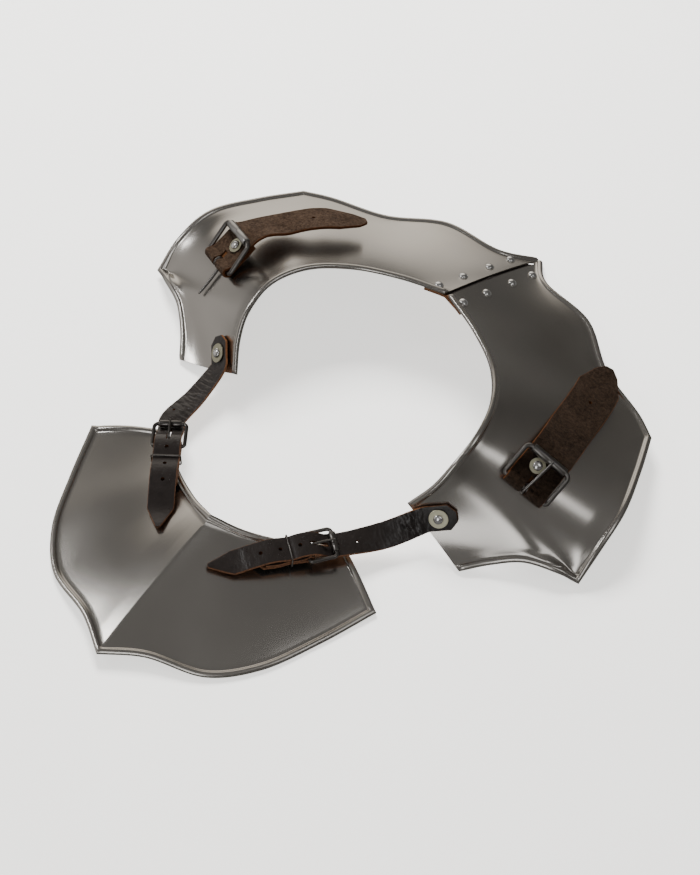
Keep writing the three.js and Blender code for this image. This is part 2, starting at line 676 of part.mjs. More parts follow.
// place is the bar's spot on the plate and turn the way to the roller, in degrees from +Y towards +X.
function shoulderStrap(side, plate, place, tail, lean, aside) {
  const prefix = side > 0 ? "left_shoulder" : "right_shoulder";
  const size = SHOULDER_BUCKLE;
  const half = size.strap / 2;
  const turn = THREE.MathUtils.degToRad(place.turn);
  const heading = vec(Math.sin(turn), Math.cos(turn), 0);
  const seat = seatOn(plate, place.at, place.v, heading, 0, size.reach, half);
  const under = GAP + SUEDE / 2;
  const upper = under + SUEDE + GAP;
  const bar = flat(seat, 0, GAP + SUEDE + GAP + size.wire);
  const rollerBar = flat(seat, size.reach, upper + SUEDE / 2 + 2 * GAP + size.roller);
  const prongRoom = buckle(prefix, size, seat, bar, rollerBar, lean, aside);
  const layers = [
    flat(seat, UNDER_LENGTH, under),
    flat(seat, 9, under),
    ...foldPoints(bar, seat, size.wire + GAP + SUEDE / 2, 270, 90),
    flat(seat, 9, upper + 0.4),
    flat(seat, 12, upper),
    flat(seat, size.reach + 3, upper),
  ];
  const tailPoints = tail.map(({ at, v, height }) => {
    const { point, normal } = plate.spot(at, v);
    return { point: step(point, [normal, height]), up: normal };
  });
  const tailCurve = new THREE.CatmullRomCurve3([
    layers.at(-2), layers.at(-1), ...tailPoints.map((t) => t.point),
  ]);
  const tailUps = new THREE.CatmullRomCurve3([seat.z, seat.z, ...tailPoints.map((t) => t.up)]);
  const samples = 12;
  const joint = 1 / (tailPoints.length + 1);
  const shares = Array.from({ length: samples }, (_, i) =>
    THREE.MathUtils.lerp(joint, 1, (i + 1) / samples),
  );
  const points = [...layers, ...shares.map((t) => tailCurve.getPoint(t))];
  const ups = [...layers.map(() => seat.z), ...shares.map((t) => tailUps.getPoint(t))];
  const lengths = [0];
  points.forEach((p, i) => i && lengths.push(lengths[i - 1] + p.distanceTo(points[i - 1])));
  const halves = lengths.map((d) => half * shapeAt(SHOULDER_TIP, lengths.at(-1) - d));
  const body = strip(points, ups, halves, SUEDE, seat.y, layers.length);
  const slitHalf = SLIT.width / 2;
  const slit = block(seat, vec(-SLIT.back, -slitHalf, -SLIT.down), vec(SLIT.over, slitHalf, SLIT.up));
  const slitTop = block(
    seat, vec(0, -slitHalf, seat.level + under + SUEDE), vec(SLIT.front, slitHalf, SLIT.up),
  );
  const pinned = (height) =>
    frameAt(flat(seat, SHOULDER_RIVET.along, height, side * SHOULDER_RIVET.across), seat.z, seat.x);
  const onStrap = pinned(upper + SUEDE / 2);
  const plateHole = drill(onStrap, SHANK_RADIUS + GAP, DRILL_DEPTH);
  const holeShare = THREE.MathUtils.lerp(joint, 1, TIP_HOLE);
  const holeFrame = frameAt(tailCurve.getPoint(holeShare), tailUps.getPoint(holeShare), seat.x);
  const tipHole = drill(holeFrame, PUNCH.radius, PUNCH.tipDepth, PUNCH.sides);
  add(prefix + "_strap", cut(body, [slit, slitTop, plateHole, tipHole, prongRoom]), BROWN_SUEDE);
  washer(prefix + "_washer", onStrap, WASHER.shoulder);
  const onWasher = pinned(upper + SUEDE / 2 + GAP + WASHER.thickness);
  rivet(prefix + "_rivet", onWasher, STRAP_HEAD, through(plate, onWasher), BRIGHT_METAL);
  plate.holes.push(plateHole);
}

// Where each shoulder strap lies on its plate, and how far its prong is turned back and leans aside.
shoulderStrap(
  1,
  backLeft,
  { at: 1.839, v: 0.59, turn: -9.7 },
  [
    { at: 1.168, v: 0.472, height: 5 }, { at: 0.885, v: 0.317, height: 5 },
    { at: 0.665, v: -0.032, height: 6 },
  ],
  0,
  -2.5,
);
const PRONG_TURNED_BACK = 168;
shoulderStrap(
  -1,
  backRight,
  { at: 1.806, v: 0.491, turn: 20.5 },
  [
    { at: 1.278, v: 0.48, height: 9 }, { at: 1.01, v: 0.51, height: 12 },
    { at: 0.737, v: 0.328, height: 10 },
  ],
  PRONG_TURNED_BACK,
  -3,
);

// Neck strap: riveted to a back plate's front end, it runs to the front plate, under the buckle's roller,
// over its bar and back down on to the plate. Under it lies the buckle's own folded strap.
const NECK_RIVET = { at: 2.81, v: 0.73 };
const NECK_END = 12;
const NECK_LEAVE = 8;
const FREE_SAG = 4;
const KEEPER_BACK = 12;
const HIDDEN_RIVET_BACK = 24;
const OWN_END = 35.5;
const NECK_HOLES = [-31, -18, -5, 21, 34];

function neckStrap(side, plate, seatPlace, tipPlace) {
  const prefix = side > 0 ? "left_neck" : "right_neck";
  const size = NECK_BUCKLE;
  const half = size.strap / 2;
  const tipSpot = front.spot(tipPlace.at, tipPlace.v);
  const seatSpot = front.spot(seatPlace.at, seatPlace.v);
  const heading = seatSpot.point.clone().sub(tipSpot.point);
  const seat = seatOn(front, seatPlace.at, seatPlace.v, heading, -OWN_END + 2, -3, half);
  const bottom = GAP + 2 * KEEPER_WIRE + GAP;
  const under = bottom + NECK_LEATHER / 2;
  const upper = under + NECK_LEATHER + GAP;
  const barHeight = bottom + NECK_LEATHER + GAP + size.wire;
  const eyeTop = barHeight + size.wire + GAP + NECK_LEATHER;
  const underRoller = BEAD_HEIGHT + GAP + NECK_LEATHER / 2 + 0.3;
  const bar = flat(seat, 0, barHeight);
  const rollerBar = flat(seat, size.reach, underRoller + NECK_LEATHER / 2 + 2 * GAP + size.roller);
  const prongRoom = buckle(prefix, size, seat, bar, rollerBar, 0, 0);

  // The buckle's own strap.
  const low = GAP + NECK_LEATHER / 2;
  const ownPoints = [
    flat(seat, -OWN_END, low),
    flat(seat, -HIDDEN_RIVET_BACK + 4, low),
    flat(seat, -KEEPER_BACK - 3, under),
    flat(seat, -6, under),
    ...foldPoints(bar, seat, size.wire + GAP + NECK_LEATHER / 2, -90, 90),
    flat(seat, -9, upper),
    flat(seat, -KEEPER_BACK - 2.4, upper),
    flat(seat, -HIDDEN_RIVET_BACK + 4.6, low + NECK_LEATHER + GAP),
    flat(seat, -HIDDEN_RIVET_BACK - 5, low + NECK_LEATHER + GAP),
  ];
  const lengths = [0];
  ownPoints.forEach((p, i) => i && lengths.push(lengths[i - 1] + p.distanceTo(ownPoints[i - 1])));
  const halves = lengths.map((d) => half * shapeAt(CHAMFERED, d));
  const ups = ownPoints.map(() => seat.z);
  const own = strip(ownPoints, ups, halves, NECK_LEATHER, seat.y, ownPoints.length);
  const slitHalf = SLIT.width / 2;
  const slit = block(seat, vec(-SLIT.over, -slitHalf, -SLIT.down), vec(SLIT.back, slitHalf, SLIT.up));
  const slitTop = block(
    seat, vec(-NECK_SLIT_FRONT, -slitHalf, seat.level + barHeight), vec(0, slitHalf, SLIT.up),
  );
  const hiddenTop = low + 1.5 * NECK_LEATHER + GAP;
  const hiddenFrame = frameAt(flat(seat, -HIDDEN_RIVET_BACK, hiddenTop), seat.z, seat.x);
  const hiddenHole = drill(hiddenFrame, SHANK_RADIUS + GAP, DRILL_DEPTH);
  add(prefix + "_buckle_strap", cut(own, [slit, slitTop, hiddenHole, prongRoom]), BLACK_LEATHER);
  rivet(prefix + "_hidden_rivet", hiddenFrame, HIDDEN_HEAD, through(front, hiddenFrame), BRIGHT_METAL);
  front.holes.push(hiddenHole);

  // The long strap.
  const pinSpot = plate.spot(NECK_RIVET.at, NECK_RIVET.v);
  const pinSeat = seatOn(plate, NECK_RIVET.at, NECK_RIVET.v, bar.clone().sub(pinSpot.point), -6, 4, half);
  const pinned = [-NECK_END, -5, 0, 5].map((along) => ({ point: flat(pinSeat, along, low), up: pinSeat.z }));
  const leaving = { point: flat(pinSeat, NECK_LEAVE, low), up: pinSeat.z };
  const hardware = [
    [size.reach + 7, underRoller],
    [size.reach, underRoller],
    [size.reach - 5, underRoller + 0.9],
    [5.5, eyeTop + GAP + NECK_LEATHER / 2 - 0.9],
    [0, eyeTop + GAP + NECK_LEATHER / 2],
    [-6, eyeTop + NECK_LEATHER / 2 - 0.6],
  ].map(([along, height]) => ({ point: flat(seat, along, height), up: seat.z }));
  const keeperTop = upper + NECK_LEATHER / 2 + GAP + NECK_LEATHER;
  const clamped = [
    [-KEEPER_BACK, keeperTop - NECK_LEATHER / 2],
    [-HIDDEN_RIVET_BACK, hiddenTop + HIDDEN_HEAD.height + 3 * GAP + NECK_LEATHER / 2],
    [-OWN_END - 1, low + NECK_LEATHER + 3 * GAP],
  ].map(([along, height]) => ({ point: flat(seat, along, height), up: seat.z }));
  const resting = [
    [-50, low + 0.4],
    [-66, low + 0.4],
  ].map(([along, height]) => ({ point: over(seat, along, height, half), up: seat.z }));
  const middle = mix(leaving.point, hardware[0].point, 0.5).add(vec(0, 0, -FREE_SAG));
  const between = { point: middle, up: mix(leaving.up, seat.z, 0.5) };
  const controls = [...pinned, leaving, between, ...hardware, ...clamped, ...resting];
  const long = strapAlong(controls, size.strap, NECK_LEATHER, CHAMFERED, NECK_TIP, 2);
  const pinnedAt = (height) => frameAt(flat(pinSeat, 0, height), pinSeat.z, pinSeat.x);
  const rivetFrame = pinnedAt(low + NECK_LEATHER / 2);
  const plateHole = drill(rivetFrame, SHANK_RADIUS + GAP, DRILL_DEPTH);
  const punches = NECK_HOLES.map((s) =>
    drill(frameAt(flat(seat, s, eyeTop), seat.z, seat.x), PUNCH.radius, PUNCH.depth, PUNCH.sides),
  );
  add(prefix + "_strap", cut(long, [plateHole, prongRoom, ...punches]), BLACK_LEATHER);
  washer(prefix + "_washer", rivetFrame, WASHER.neck);
  const onWasher = pinnedAt(low + NECK_LEATHER / 2 + GAP + WASHER.thickness);
  rivet(prefix + "_rivet", onWasher, STRAP_HEAD, through(plate, onWasher), BRIGHT_METAL);
  plate.holes.push(plateHole);

  // Thin wire keeper round both straps.
  const reach = half + GAP + KEEPER_WIRE;
  const [floor, roof] = [GAP + KEEPER_WIRE, keeperTop + 2 * GAP + KEEPER_WIRE];
  const ring = [
    [1, floor + 1], [0.9, floor], [-0.9, floor], [-1, floor + 1],
    [-1, roof - 1], [-0.9, roof], [0.9, roof], [1, roof - 1],
  ];
  const keeper = ring.map(([across, height]) =>
    flat(seat, -KEEPER_BACK, height, across * reach),
  );
  add(prefix + "_keeper", wire(keeper, KEEPER_WIRE, 6, seat.x, true), DARK_METAL);
}

neckStrap(1, backLeft, { at: 0.28, v: 0.95 }, { at: 0.82, v: 0.68 });
neckStrap(-1, backRight, { at: 1.77, v: 1.04 }, { at: 1.2, v: 0.68 });

// Leather hinge under the seam, with a row of rivets down each side.
const HINGE_ENDS = { tip: 0.02, neck: 1.08 };
const HINGE_PLACES = [0.965, 0.665, 0.33, 0.055];
const HINGE_RIVET_AT = 0.11;
const HINGE_SIDE_AT = 0.19;

function hinge() {
  const below = (plate, at, v, depth) => {
    const { point, normal } = plate.spot(at, v);
    return step(point, [normal, -SHEET - HINGE_GAP - depth]);
  };
  const row = (v, depth) => [
    below(backRight, HINGE_SIDE_AT, v, depth),
    below(backRight, HINGE_SIDE_AT / 2, v, depth),
    mix(below(backRight, 0.001, v, depth), below(backLeft, 0.001, v, depth), 0.5),
    below(backLeft, HINGE_SIDE_AT / 2, v, depth),
    below(backLeft, HINGE_SIDE_AT, v, depth),
  ];
  const places = [0, 0.25, 0.5, 0.75, 1].map((share) => THREE.MathUtils.lerp(HINGE_ENDS.tip, 1, share));
  const rings = [...places, HINGE_ENDS.neck].map((v) => [...row(v, 0), ...row(v, HINGE_LEATHER).reverse()]);
  const holes = [];
  for (const [plate, word] of [[backLeft, "left"], [backRight, "right"]])
    HINGE_PLACES.forEach((v, i) => {
      const { point, normal } = plate.spot(HINGE_RIVET_AT, v);
      const frame = frameAt(point, normal, vec(0, 1, 0));
      const hole = drill(frame, SHANK_RADIUS + GAP, DRILL_DEPTH);
      holes.push(hole);
      plate.holes.push(hole);
      const grip = SHEET + HINGE_GAP + HINGE_LEATHER;
      rivet(`${word}_seam_rivet_${i + 1}`, frame, SEAM_HEAD, grip, BRIGHT_METAL);
    });
  add("hinge_leather", cut(loft(rings), holes), BLACK_LEATHER);
}
hinge();

backLeft.add();
backRight.add();
front.add();

// The origin is the middle of the box round the part, at the height of its lowest point.
const box = new THREE.Box3().setFromObject(gorget, true);
const middle = box.getCenter(vec(0, 0, 0));
gorget.position.set(-middle.x, -middle.y, -box.min.z);

export default gorget;
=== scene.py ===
"""Looks of a steel gorget, the collar of a suit of armour, lying open: satin steel plates with a rolled edge,
black neck straps, brown suede shoulder straps, roller buckles, rivets and washers. Metres, +Z up."""

import math

import bmesh
import bpy
import numpy as np
from mathutils import Matrix, Vector, noise
from mathutils.bvhtree import BVHTree
from mathutils.kdtree import KDTree


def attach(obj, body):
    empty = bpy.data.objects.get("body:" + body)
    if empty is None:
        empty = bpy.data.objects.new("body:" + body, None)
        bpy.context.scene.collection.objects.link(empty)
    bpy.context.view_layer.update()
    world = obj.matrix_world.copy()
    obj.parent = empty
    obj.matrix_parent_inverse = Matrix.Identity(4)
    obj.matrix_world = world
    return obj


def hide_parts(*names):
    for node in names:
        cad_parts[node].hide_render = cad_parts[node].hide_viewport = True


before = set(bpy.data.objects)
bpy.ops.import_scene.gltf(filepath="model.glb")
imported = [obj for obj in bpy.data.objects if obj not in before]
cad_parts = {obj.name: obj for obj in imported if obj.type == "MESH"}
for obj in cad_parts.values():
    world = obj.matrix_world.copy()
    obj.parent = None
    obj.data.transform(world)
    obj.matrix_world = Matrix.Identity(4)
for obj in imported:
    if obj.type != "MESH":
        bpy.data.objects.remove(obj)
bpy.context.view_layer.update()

bl_info = {
    "name": "Gorget",
    "version": (1, 0, 0),
    "blender": (4, 5, 0),
    "location": "3D View > Sidebar > Gorget",
    "description": "Makes the plates, straps, buckles and rivets of a steel gorget",
    "category": "Add Mesh",
}

# The neck's axis, on the ground, in the frame's own axes.
NECK_AXIS = np.array([0.0, 0.023281, 0.000442])

# Sheet steel.
SHEET = 0.0012
BEAD_WIDTH = 0.0056
FLARE = -0.0035
# Beside the seam the back plates bow the other way, easing off over this run of the first span.
SEAM_BOW = 0.0014
SEAM_RUN = 0.35
FRONT_BULGE = 0.0025
SEAM_GAP = 0.0032

# Back plates, upper face, from the neck's axis and the ground: out, back, rise.
NECK_RADIUS = 0.092
NECK_RISE = 0.066
BACK_TIP = (0.0, 0.196, 0.002)
BACK_CORNER = (0.159, 0.121, 0.015)
SHOULDER_CORNER = (0.192, 0.006, 0.004)
FRONT_CORNER = (0.1275, -0.038, 0.002)

# Front plate in its own axes, and its place in front of the neck.
FRONT_HALF_WIDTH = 0.121
FRONT_TOP_SLOPE = (0.0465, 0.026)
FRONT_NECK_DROP = 0.0185
FRONT_LENGTH = 0.1355
RIDGE_RISE = {"neck": 0.027, "tip": 0.007}
FRONT_RISE = {"corner": 0.0018, "neck": 0.007}
FRONT_SHIFT = (-0.0119, -0.1077, 0.0)
FRONT_TURN = math.radians(4.8)

# Edge tables: shares of the corners' distance along the edge, outwards and up.
BACK_EDGE = [(0.153, -0.054, 0.05), (0.39, 0.02, 0.035), (0.64, -0.016, 0.015), (0.886, 0.008, 0)]
SHOULDER_EDGE = [(0.283, 0.049, 0.09), (0.6, 0.083, 0.165), (0.82, 0.051, 0.12)]
FRONT_EDGE = [(0.17, -0.03, 0.075), (0.47, -0.09, 0.1), (0.75, -0.065, 0.045)]
FRONT_SIDE = [(0.216, 0.085, -0.012), (0.442, 0.154, -0.016), (0.638, 0.149, -0.016), (0.839, 0.045, 0.006)]
FRONT_NECK = [(0.375, 0.057, -0.03), (0.74, 0.042, -0.045)]
# Neck edge: degrees round from the middle of the back, shares of the neck's radius and rise.
NECK_EDGE = [
    (0, 1.01, 0.93), (22, 0.96, 0.925), (43, 0.98, 0.94), (63, 1, 1),
    (80, 1.005, 0.985), (93.5, 0.99, 0.84), (102.5, 0.965, 0.63), (113, 0.91, 0.39),
]
NECK_STOPS = [0, 0.4, 0.72, 1]

# Leather, rivets and buckles.
GAP = 0.0003
NECK_LEATHER = 0.002
NECK_WIDTH = 0.018
SUEDE = 0.0024
SUEDE_WIDTH = 0.0305
HINGE_LEATHER = 0.002
HINGE_GAP = 0.00045
WASHER = {"neck": 0.0066, "shoulder": 0.0054, "thickness": 0.0008}
SHOULDER_BUCKLE = {"wire": 0.0016, "roller": 0.0029, "reach": 0.024, "corner": 0.0036, "prong": 0.0011,
                   "strap": SUEDE_WIDTH}
NECK_BUCKLE = {"wire": 0.0013, "roller": 0.0024, "reach": 0.018, "corner": 0.003, "prong": 0.00095,
               "strap": NECK_WIDTH}
BAR_CORNER = 0.0019
SIDE_PLAY = 0.0006
KEEPER_WIRE = 0.00055

SIDES = {"left": 1, "right": -1}


# Plain geometry

def unit(v):
    """v at length 1; rows of an array each at length 1."""
    v = np.asarray(v, float)
    return v / np.linalg.norm(v, axis=-1, keepdims=True)


def vec(*xyz):
    """A point or direction."""
    return np.array(xyz, float)


def walked(points):
    """The way along a line of points, at each of them."""
    return np.concatenate([[0], np.cumsum(np.linalg.norm(np.diff(points, axis=0), axis=1))])


def headings(points):
    """Unit directions of a line of points, at each of them."""
    return unit(np.vstack([points[1:], points[-1:]]) - np.vstack([points[:1], points[:-1]]))


# The square root of a distance under which two control points count as one.
TINY = 1e-4


class Path:
    """Smooth line through points, spaced by the square root of their distance."""

    def __init__(self, points):
        self.points = np.array(points, float)
        self.shares = np.linspace(0, 1, 401)
        self.lengths = walked(self.raw(self.shares))
        self.length = self.lengths[-1]

    def raw(self, t):
        """Points at shares t of the spans between the control points."""
        p = self.points
        t = np.atleast_1d(t) * (len(p) - 1)
        i = np.clip(np.floor(t).astype(int), 0, len(p) - 2)
        w = (t - i)[:, None]
        grown = np.vstack([2 * p[0] - p[1], p, 2 * p[-1] - p[-2]])
        p0, p1, p2, p3 = (grown[i + k] for k in range(4))
        d0, d1, d2 = (np.sqrt(np.linalg.norm(b - a, axis=1))[:, None]
                      for a, b in ((p0, p1), (p1, p2), (p2, p3)))
        d0, d2 = np.where(d0 < TINY, d1, d0), np.where(d2 < TINY, d1, d2)
        t1 = ((p1 - p0) / d0 - (p2 - p0) / (d0 + d1) + (p2 - p1) / d1) * d1
        t2 = ((p2 - p1) / d1 - (p3 - p1) / (d1 + d2) + (p3 - p2) / d2) * d1
        return p1 + t1 * w + (-3 * p1 + 3 * p2 - 2 * t1 - t2) * w**2 + (2 * p1 - 2 * p2 + t1 + t2) * w**3

    def at(self, shares):
        """Points at shares of the length."""
        return self.raw(np.interp(np.atleast_1d(shares) * self.length, self.lengths, self.shares))

    def tangents(self, shares):
        """Unit directions at shares of the length."""
        step = 2e-3
        s = np.atleast_1d(shares)
        return unit(self.at(np.minimum(s + step, 1)) - self.at(np.maximum(s - step, 0)))


def make_object(name, vertices, faces, materials, uvs=None):
    """A smooth-shaded mesh object at the origin."""
    mesh = bpy.data.meshes.new(name)
    mesh.from_pydata([tuple(v) for v in vertices], [], [tuple(int(i) for i in f) for f in faces])
    if uvs is not None:
        layer = mesh.uv_layers.new(name="UVMap")
        corners = np.zeros(len(mesh.loops), int)
        mesh.loops.foreach_get("vertex_index", corners)
        layer.data.foreach_set("uv", np.asarray(uvs, np.float32)[corners].ravel())
    mesh.validate()
    for material in materials:
        mesh.materials.append(material)
    obj = new_object(name, mesh)
    finish_mesh(obj)
    return obj


def new_object(name, data):
    """An object in the scene with that data."""
    obj = bpy.data.objects.new(name, data)
    bpy.context.scene.collection.objects.link(obj)
    return obj


def finish_mesh(obj, sharp_degrees=38):
    """Merges doubles, turns the faces outwards and shades smooth, with sharp edges kept."""
    bm = bmesh.new()
    bm.from_mesh(obj.data)
    bmesh.ops.remove_doubles(bm, verts=bm.verts, dist=1e-7)
    bmesh.ops.recalc_face_normals(bm, faces=bm.faces)
    if bm.calc_volume(signed=True) < 0:
        bmesh.ops.reverse_faces(bm, faces=bm.faces)
    for face in bm.faces:
        face.smooth = True
    for edge in bm.edges:
        edge.smooth = not edge.is_manifold or edge.calc_face_angle(0) < math.radians(sharp_degrees)
    bm.to_mesh(obj.data)
    bm.free()


def marked(obj, name, vertices, values):
    """Stores a value on each vertex of a piece made from those vertices; doubles may have been merged."""
    tree = KDTree(len(vertices))
    for i, v in enumerate(vertices):
        tree.insert(Vector(v), i)
    tree.balance()
    layer = obj.data.attributes.new(name, "FLOAT", "POINT")
    layer.data.foreach_set("value", [values[tree.find(v.co)[1]] for v in obj.data.vertices])
    return obj


def settle(obj, body, slot, *nodes):
    """Tells the frame which body a finished piece rides on and hides the solids that it stands for; slot is not
    used.
    """
    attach(obj, body)
    if nodes:
        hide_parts(*nodes)
    return obj


def grid_faces(rows, columns, first=0, closed=False):
    """Quads between rows of points; closed joins each row's last point to its first."""
    faces = []
    for i in range(rows - 1):
        for j in range(columns if closed else columns - 1):
            k = (j + 1) % columns
            a, b = first + i * columns, first + (i + 1) * columns
            faces.append((a + j, a + k, b + k, b + j))
    return faces


def skin(rows, columns):
    """Faces of a closed body through rows of points, with a cap at each end."""
    last = rows * columns - 1
    caps = [tuple(range(columns)), tuple(range(last, last - columns, -1))]
    return grid_faces(rows, columns, closed=True) + caps


def tube(points, radii, sides, up):
    """Vertices and faces of a round wire along points. up is any direction off the wire's plane."""
    points = np.asarray(points, float)
    along = headings(points)
    across = unit(np.cross(up, along))
    over = np.cross(along, across)
    angles = np.linspace(0, 2 * math.pi, sides, endpoint=False)
    ring = across[:, None] * np.cos(angles)[None, :, None] + over[:, None] * np.sin(angles)[None, :, None]
    vertices = points[:, None] + ring * np.array(radii)[:, None, None]
    return vertices.reshape(-1, 3), skin(len(points), sides)


def lathe(profile, sides):
    """Vertices and faces of a (radius, height) profile turned round Z. It starts and ends on the axis, or
    closes on itself when its last point is its first."""
    closed = profile[0] == profile[-1]
    rows = profile[:-1] if closed else profile
    angles = np.linspace(0, 2 * math.pi, sides, endpoint=False)
    vertices = [(r * math.cos(a), r * math.sin(a), z) for a in angles for r, z in rows]
    faces = grid_faces(sides, len(rows), closed=closed)
    last = (sides - 1) * len(rows)
    for j in range(len(rows) if closed else len(rows) - 1):
        k = (j + 1) % len(rows)
        faces.append((last + j, last + k, k, j))
    return vertices, faces


def placed(vertices, x, y, z, origin):
    """Vertices in a frame with those axes and origin."""
    return np.asarray(vertices, float) @ np.array([x, y, z]) + origin


# Shader node groups and materials

def group_tree(name, kind, inputs, outputs):
    """A node group with inputs (name, socket type, and a default for some) and outputs (name, socket type),
    its node helper, and the sockets that its inputs and outputs have inside."""
    tree = bpy.data.node_groups.new(name, kind)
    for label, socket_kind, *default in inputs:
        socket = tree.interface.new_socket(label, in_out="INPUT", socket_type=socket_kind)
        if default:
            socket.default_value = default[0]
    for label, socket_kind in outputs:
        tree.interface.new_socket(label, in_out="OUTPUT", socket_type=socket_kind)
    n = Nodes(tree)
    return tree, n, n.add("NodeGroupInput").outputs, n.add("NodeGroupOutput").inputs


class Nodes:
    """Short calls for building a node tree."""

    def __init__(self, tree):
        self.tree = tree

    def add(self, kind, inputs=None, **properties):
        """A new node with values or links on its inputs."""
        node = self.tree.nodes.new(kind)
        for key, value in properties.items():
            setattr(node, key, value)
        for key, value in (inputs or {}).items():
            self.put(node.inputs[key], value)
        return node

    def put(self, socket, value):
        """Links a socket to another, or sets its value."""
        if isinstance(value, bpy.types.NodeSocket):
            self.tree.links.new(value, socket)
        else:
            socket.default_value = value

    def math(self, operation, *values):
        """Result of a Math node."""
        node = self.tree.nodes.new("ShaderNodeMath")
        node.operation = operation
        for socket, value in zip(node.inputs, values):
            self.put(socket, value)
        return node.outputs[0]

    def ramp(self, factor, *stops):
        """Colour of a ramp with (place, colour) stops."""
        node = self.tree.nodes.new("ShaderNodeValToRGB")
        elements = node.color_ramp.elements
        while len(elements) < len(stops):
            elements.new(0.5)
        for element, (place, color) in zip(elements, stops):
            element.position = place
            element.color = color if len(color) == 4 else (*color, 1)
        self.put(node.inputs["Fac"], factor)
        return node.outputs["Color"]

    def mix(self, factor, a, b, blend="MIX"):
        """Colour a turning into b, or b blended on a."""
        node = self.tree.nodes.new("ShaderNodeMix")
        node.data_type = "RGBA"
        node.blend_type = blend
        for key, value in (("Factor", factor), ("A", a), ("B", b)):
            socket = next(s for s in node.inputs if s.name == key and (key == "Factor" or s.type == "RGBA"))
            self.put(socket, value)
        return next(s for s in node.outputs if s.type == "RGBA")

    def noise(self, vector, scale, detail=4.0, roughness=0.5):
        """Soft noise, 0 to 1."""
        return self.add("ShaderNodeTexNoise", {"Vector": vector, "Scale": scale, "Detail": detail,
                                               "Roughness": roughness}).outputs["Fac"]

    def stretched(self, vector, scale):
        """Coordinates scaled by axis."""
        return self.add("ShaderNodeMapping", {"Vector": vector, "Scale": scale}).outputs["Vector"]


def polish_group():
    """Satin polish: long fine scratches and faint clouds. Height for a bump and a mask of the clouds."""
    tree, n, given, out = group_tree(
        "Satin polish", "ShaderNodeTree",
        [("Vector", "NodeSocketVector", (0, 0, 0)), ("Scratch Scale", "NodeSocketFloat", 260.0),
         ("Cloud Scale", "NodeSocketFloat", 14.0)],
        [("Height", "NodeSocketFloat"), ("Clouds", "NodeSocketFloat")],
    )
    fine = n.noise(n.stretched(given["Vector"], (1, 0.05, 0.4)), given["Scratch Scale"], 3)
    crossed = n.noise(n.stretched(given["Vector"], (0.06, 1, 0.5)), given["Scratch Scale"], 3)
    n.put(out["Height"], n.math("ADD", fine, n.math("MULTIPLY", crossed, 0.6)))
    n.put(out["Clouds"], n.noise(given["Vector"], given["Cloud Scale"], 3))
    return tree


def grain_group():
    """Grain of finished leather: small cells with soft creases. Height for a bump."""
    tree, n, given, out = group_tree(
        "Leather grain", "ShaderNodeTree",
        [("Vector", "NodeSocketVector", (0, 0, 0)), ("Grain Scale", "NodeSocketFloat", 900.0),
         ("Crease Scale", "NodeSocketFloat", 120.0)],
        [("Height", "NodeSocketFloat"), ("Creases", "NodeSocketFloat")],
    )
    cells = n.add("ShaderNodeTexVoronoi", {"Vector": given["Vector"], "Scale": given["Grain Scale"]})
    creases = n.noise(given["Vector"], given["Crease Scale"], 5, 0.62)
    ridges = n.math("ABSOLUTE", n.math("SUBTRACT", creases, 0.5))
    n.put(out["Height"], n.math("ADD", n.math("MULTIPLY", cells.outputs["Distance"], 0.35), ridges))
    n.put(out["Creases"], ridges)
    return tree


def shade(color, factor):
    """A colour made darker or lighter."""
    return tuple(min(1, c * factor) for c in color)


def new_material(name):
    """A material, the node helper, its Principled shader's inputs and the piece's own coordinates."""
    material = bpy.data.materials.new(name)
    material.use_nodes = True
    n = Nodes(material.node_tree)
    shader = material.node_tree.nodes["Principled BSDF"]
    return material, n, shader.inputs, n.add("ShaderNodeTexCoord").outputs["Object"]


def bumped(n, shader, height, strength, distance):
    """Puts a height on a shader's normal."""
    bump = n.add("ShaderNodeBump", {"Height": height, "Strength": strength, "Distance": distance})
    n.put(shader["Normal"], bump.outputs["Normal"])


# How much rougher a plate's rolled edge is than its sheet.
RIM_ROUGHER = 0.04


def steel_material(name, group, color, roughness, contrast):
    """Polished metal. The attribute rim is 1 on a plate's rolled edge."""
    material, n, shader, place = new_material(name)
    polish = n.add("ShaderNodeGroup", node_tree=group)
    n.put(polish.inputs["Vector"], place)
    clouds = polish.outputs["Clouds"]
    rim = n.add("ShaderNodeAttribute", attribute_name="rim").outputs["Fac"]
    polished = n.ramp(clouds, (0.3, shade(color, 1 - contrast)), (0.7, shade(color, 1 + contrast)))
    n.put(shader["Base Color"], n.mix(rim, polished, (*color, 1)))
    rough = n.math("ADD", n.math("MULTIPLY", clouds, 0.12), roughness - 0.06)
    n.put(shader["Roughness"], n.math("ADD", rough, n.math("MULTIPLY", rim, RIM_ROUGHER)))
    shader["Metallic"].default_value = 1.0
    bumped(n, shader, polish.outputs["Height"], 0.012, 0.0004)
    return material


def leather_material(name, group, top, raw, roughness):
    """Finished leather. The attribute cut is 1 on raw cut edges and the flesh side, 0 on the grain side."""
    material, n, shader, place = new_material(name)
    cut = n.add("ShaderNodeAttribute", attribute_name="cut").outputs["Fac"]
    grain = n.add("ShaderNodeGroup", node_tree=group)
    n.put(grain.inputs["Vector"], place)
    fibres = n.noise(place, 700.0, 4, 0.7)
    raw_color = n.ramp(fibres, (0.3, shade(raw, 0.45)), (0.7, shade(raw, 1.3)))
    worn = n.ramp(grain.outputs["Creases"], (0.0, shade(top, 1.6)), (0.25, top))
    n.put(shader["Base Color"], n.mix(cut, worn, raw_color))
    gloss = n.math("ADD", n.math("MULTIPLY", n.noise(place, 90.0, 3), 0.22), roughness - 0.1)
    n.put(shader["Roughness"], n.math("MAXIMUM", gloss, n.math("MULTIPLY", cut, 0.85)))
    shader["Specular IOR Level"].default_value = 0.5
    bumped(n, shader, n.math("ADD", grain.outputs["Height"], n.math("MULTIPLY", fibres, 0.2)), 0.35, 0.0006)
    return material


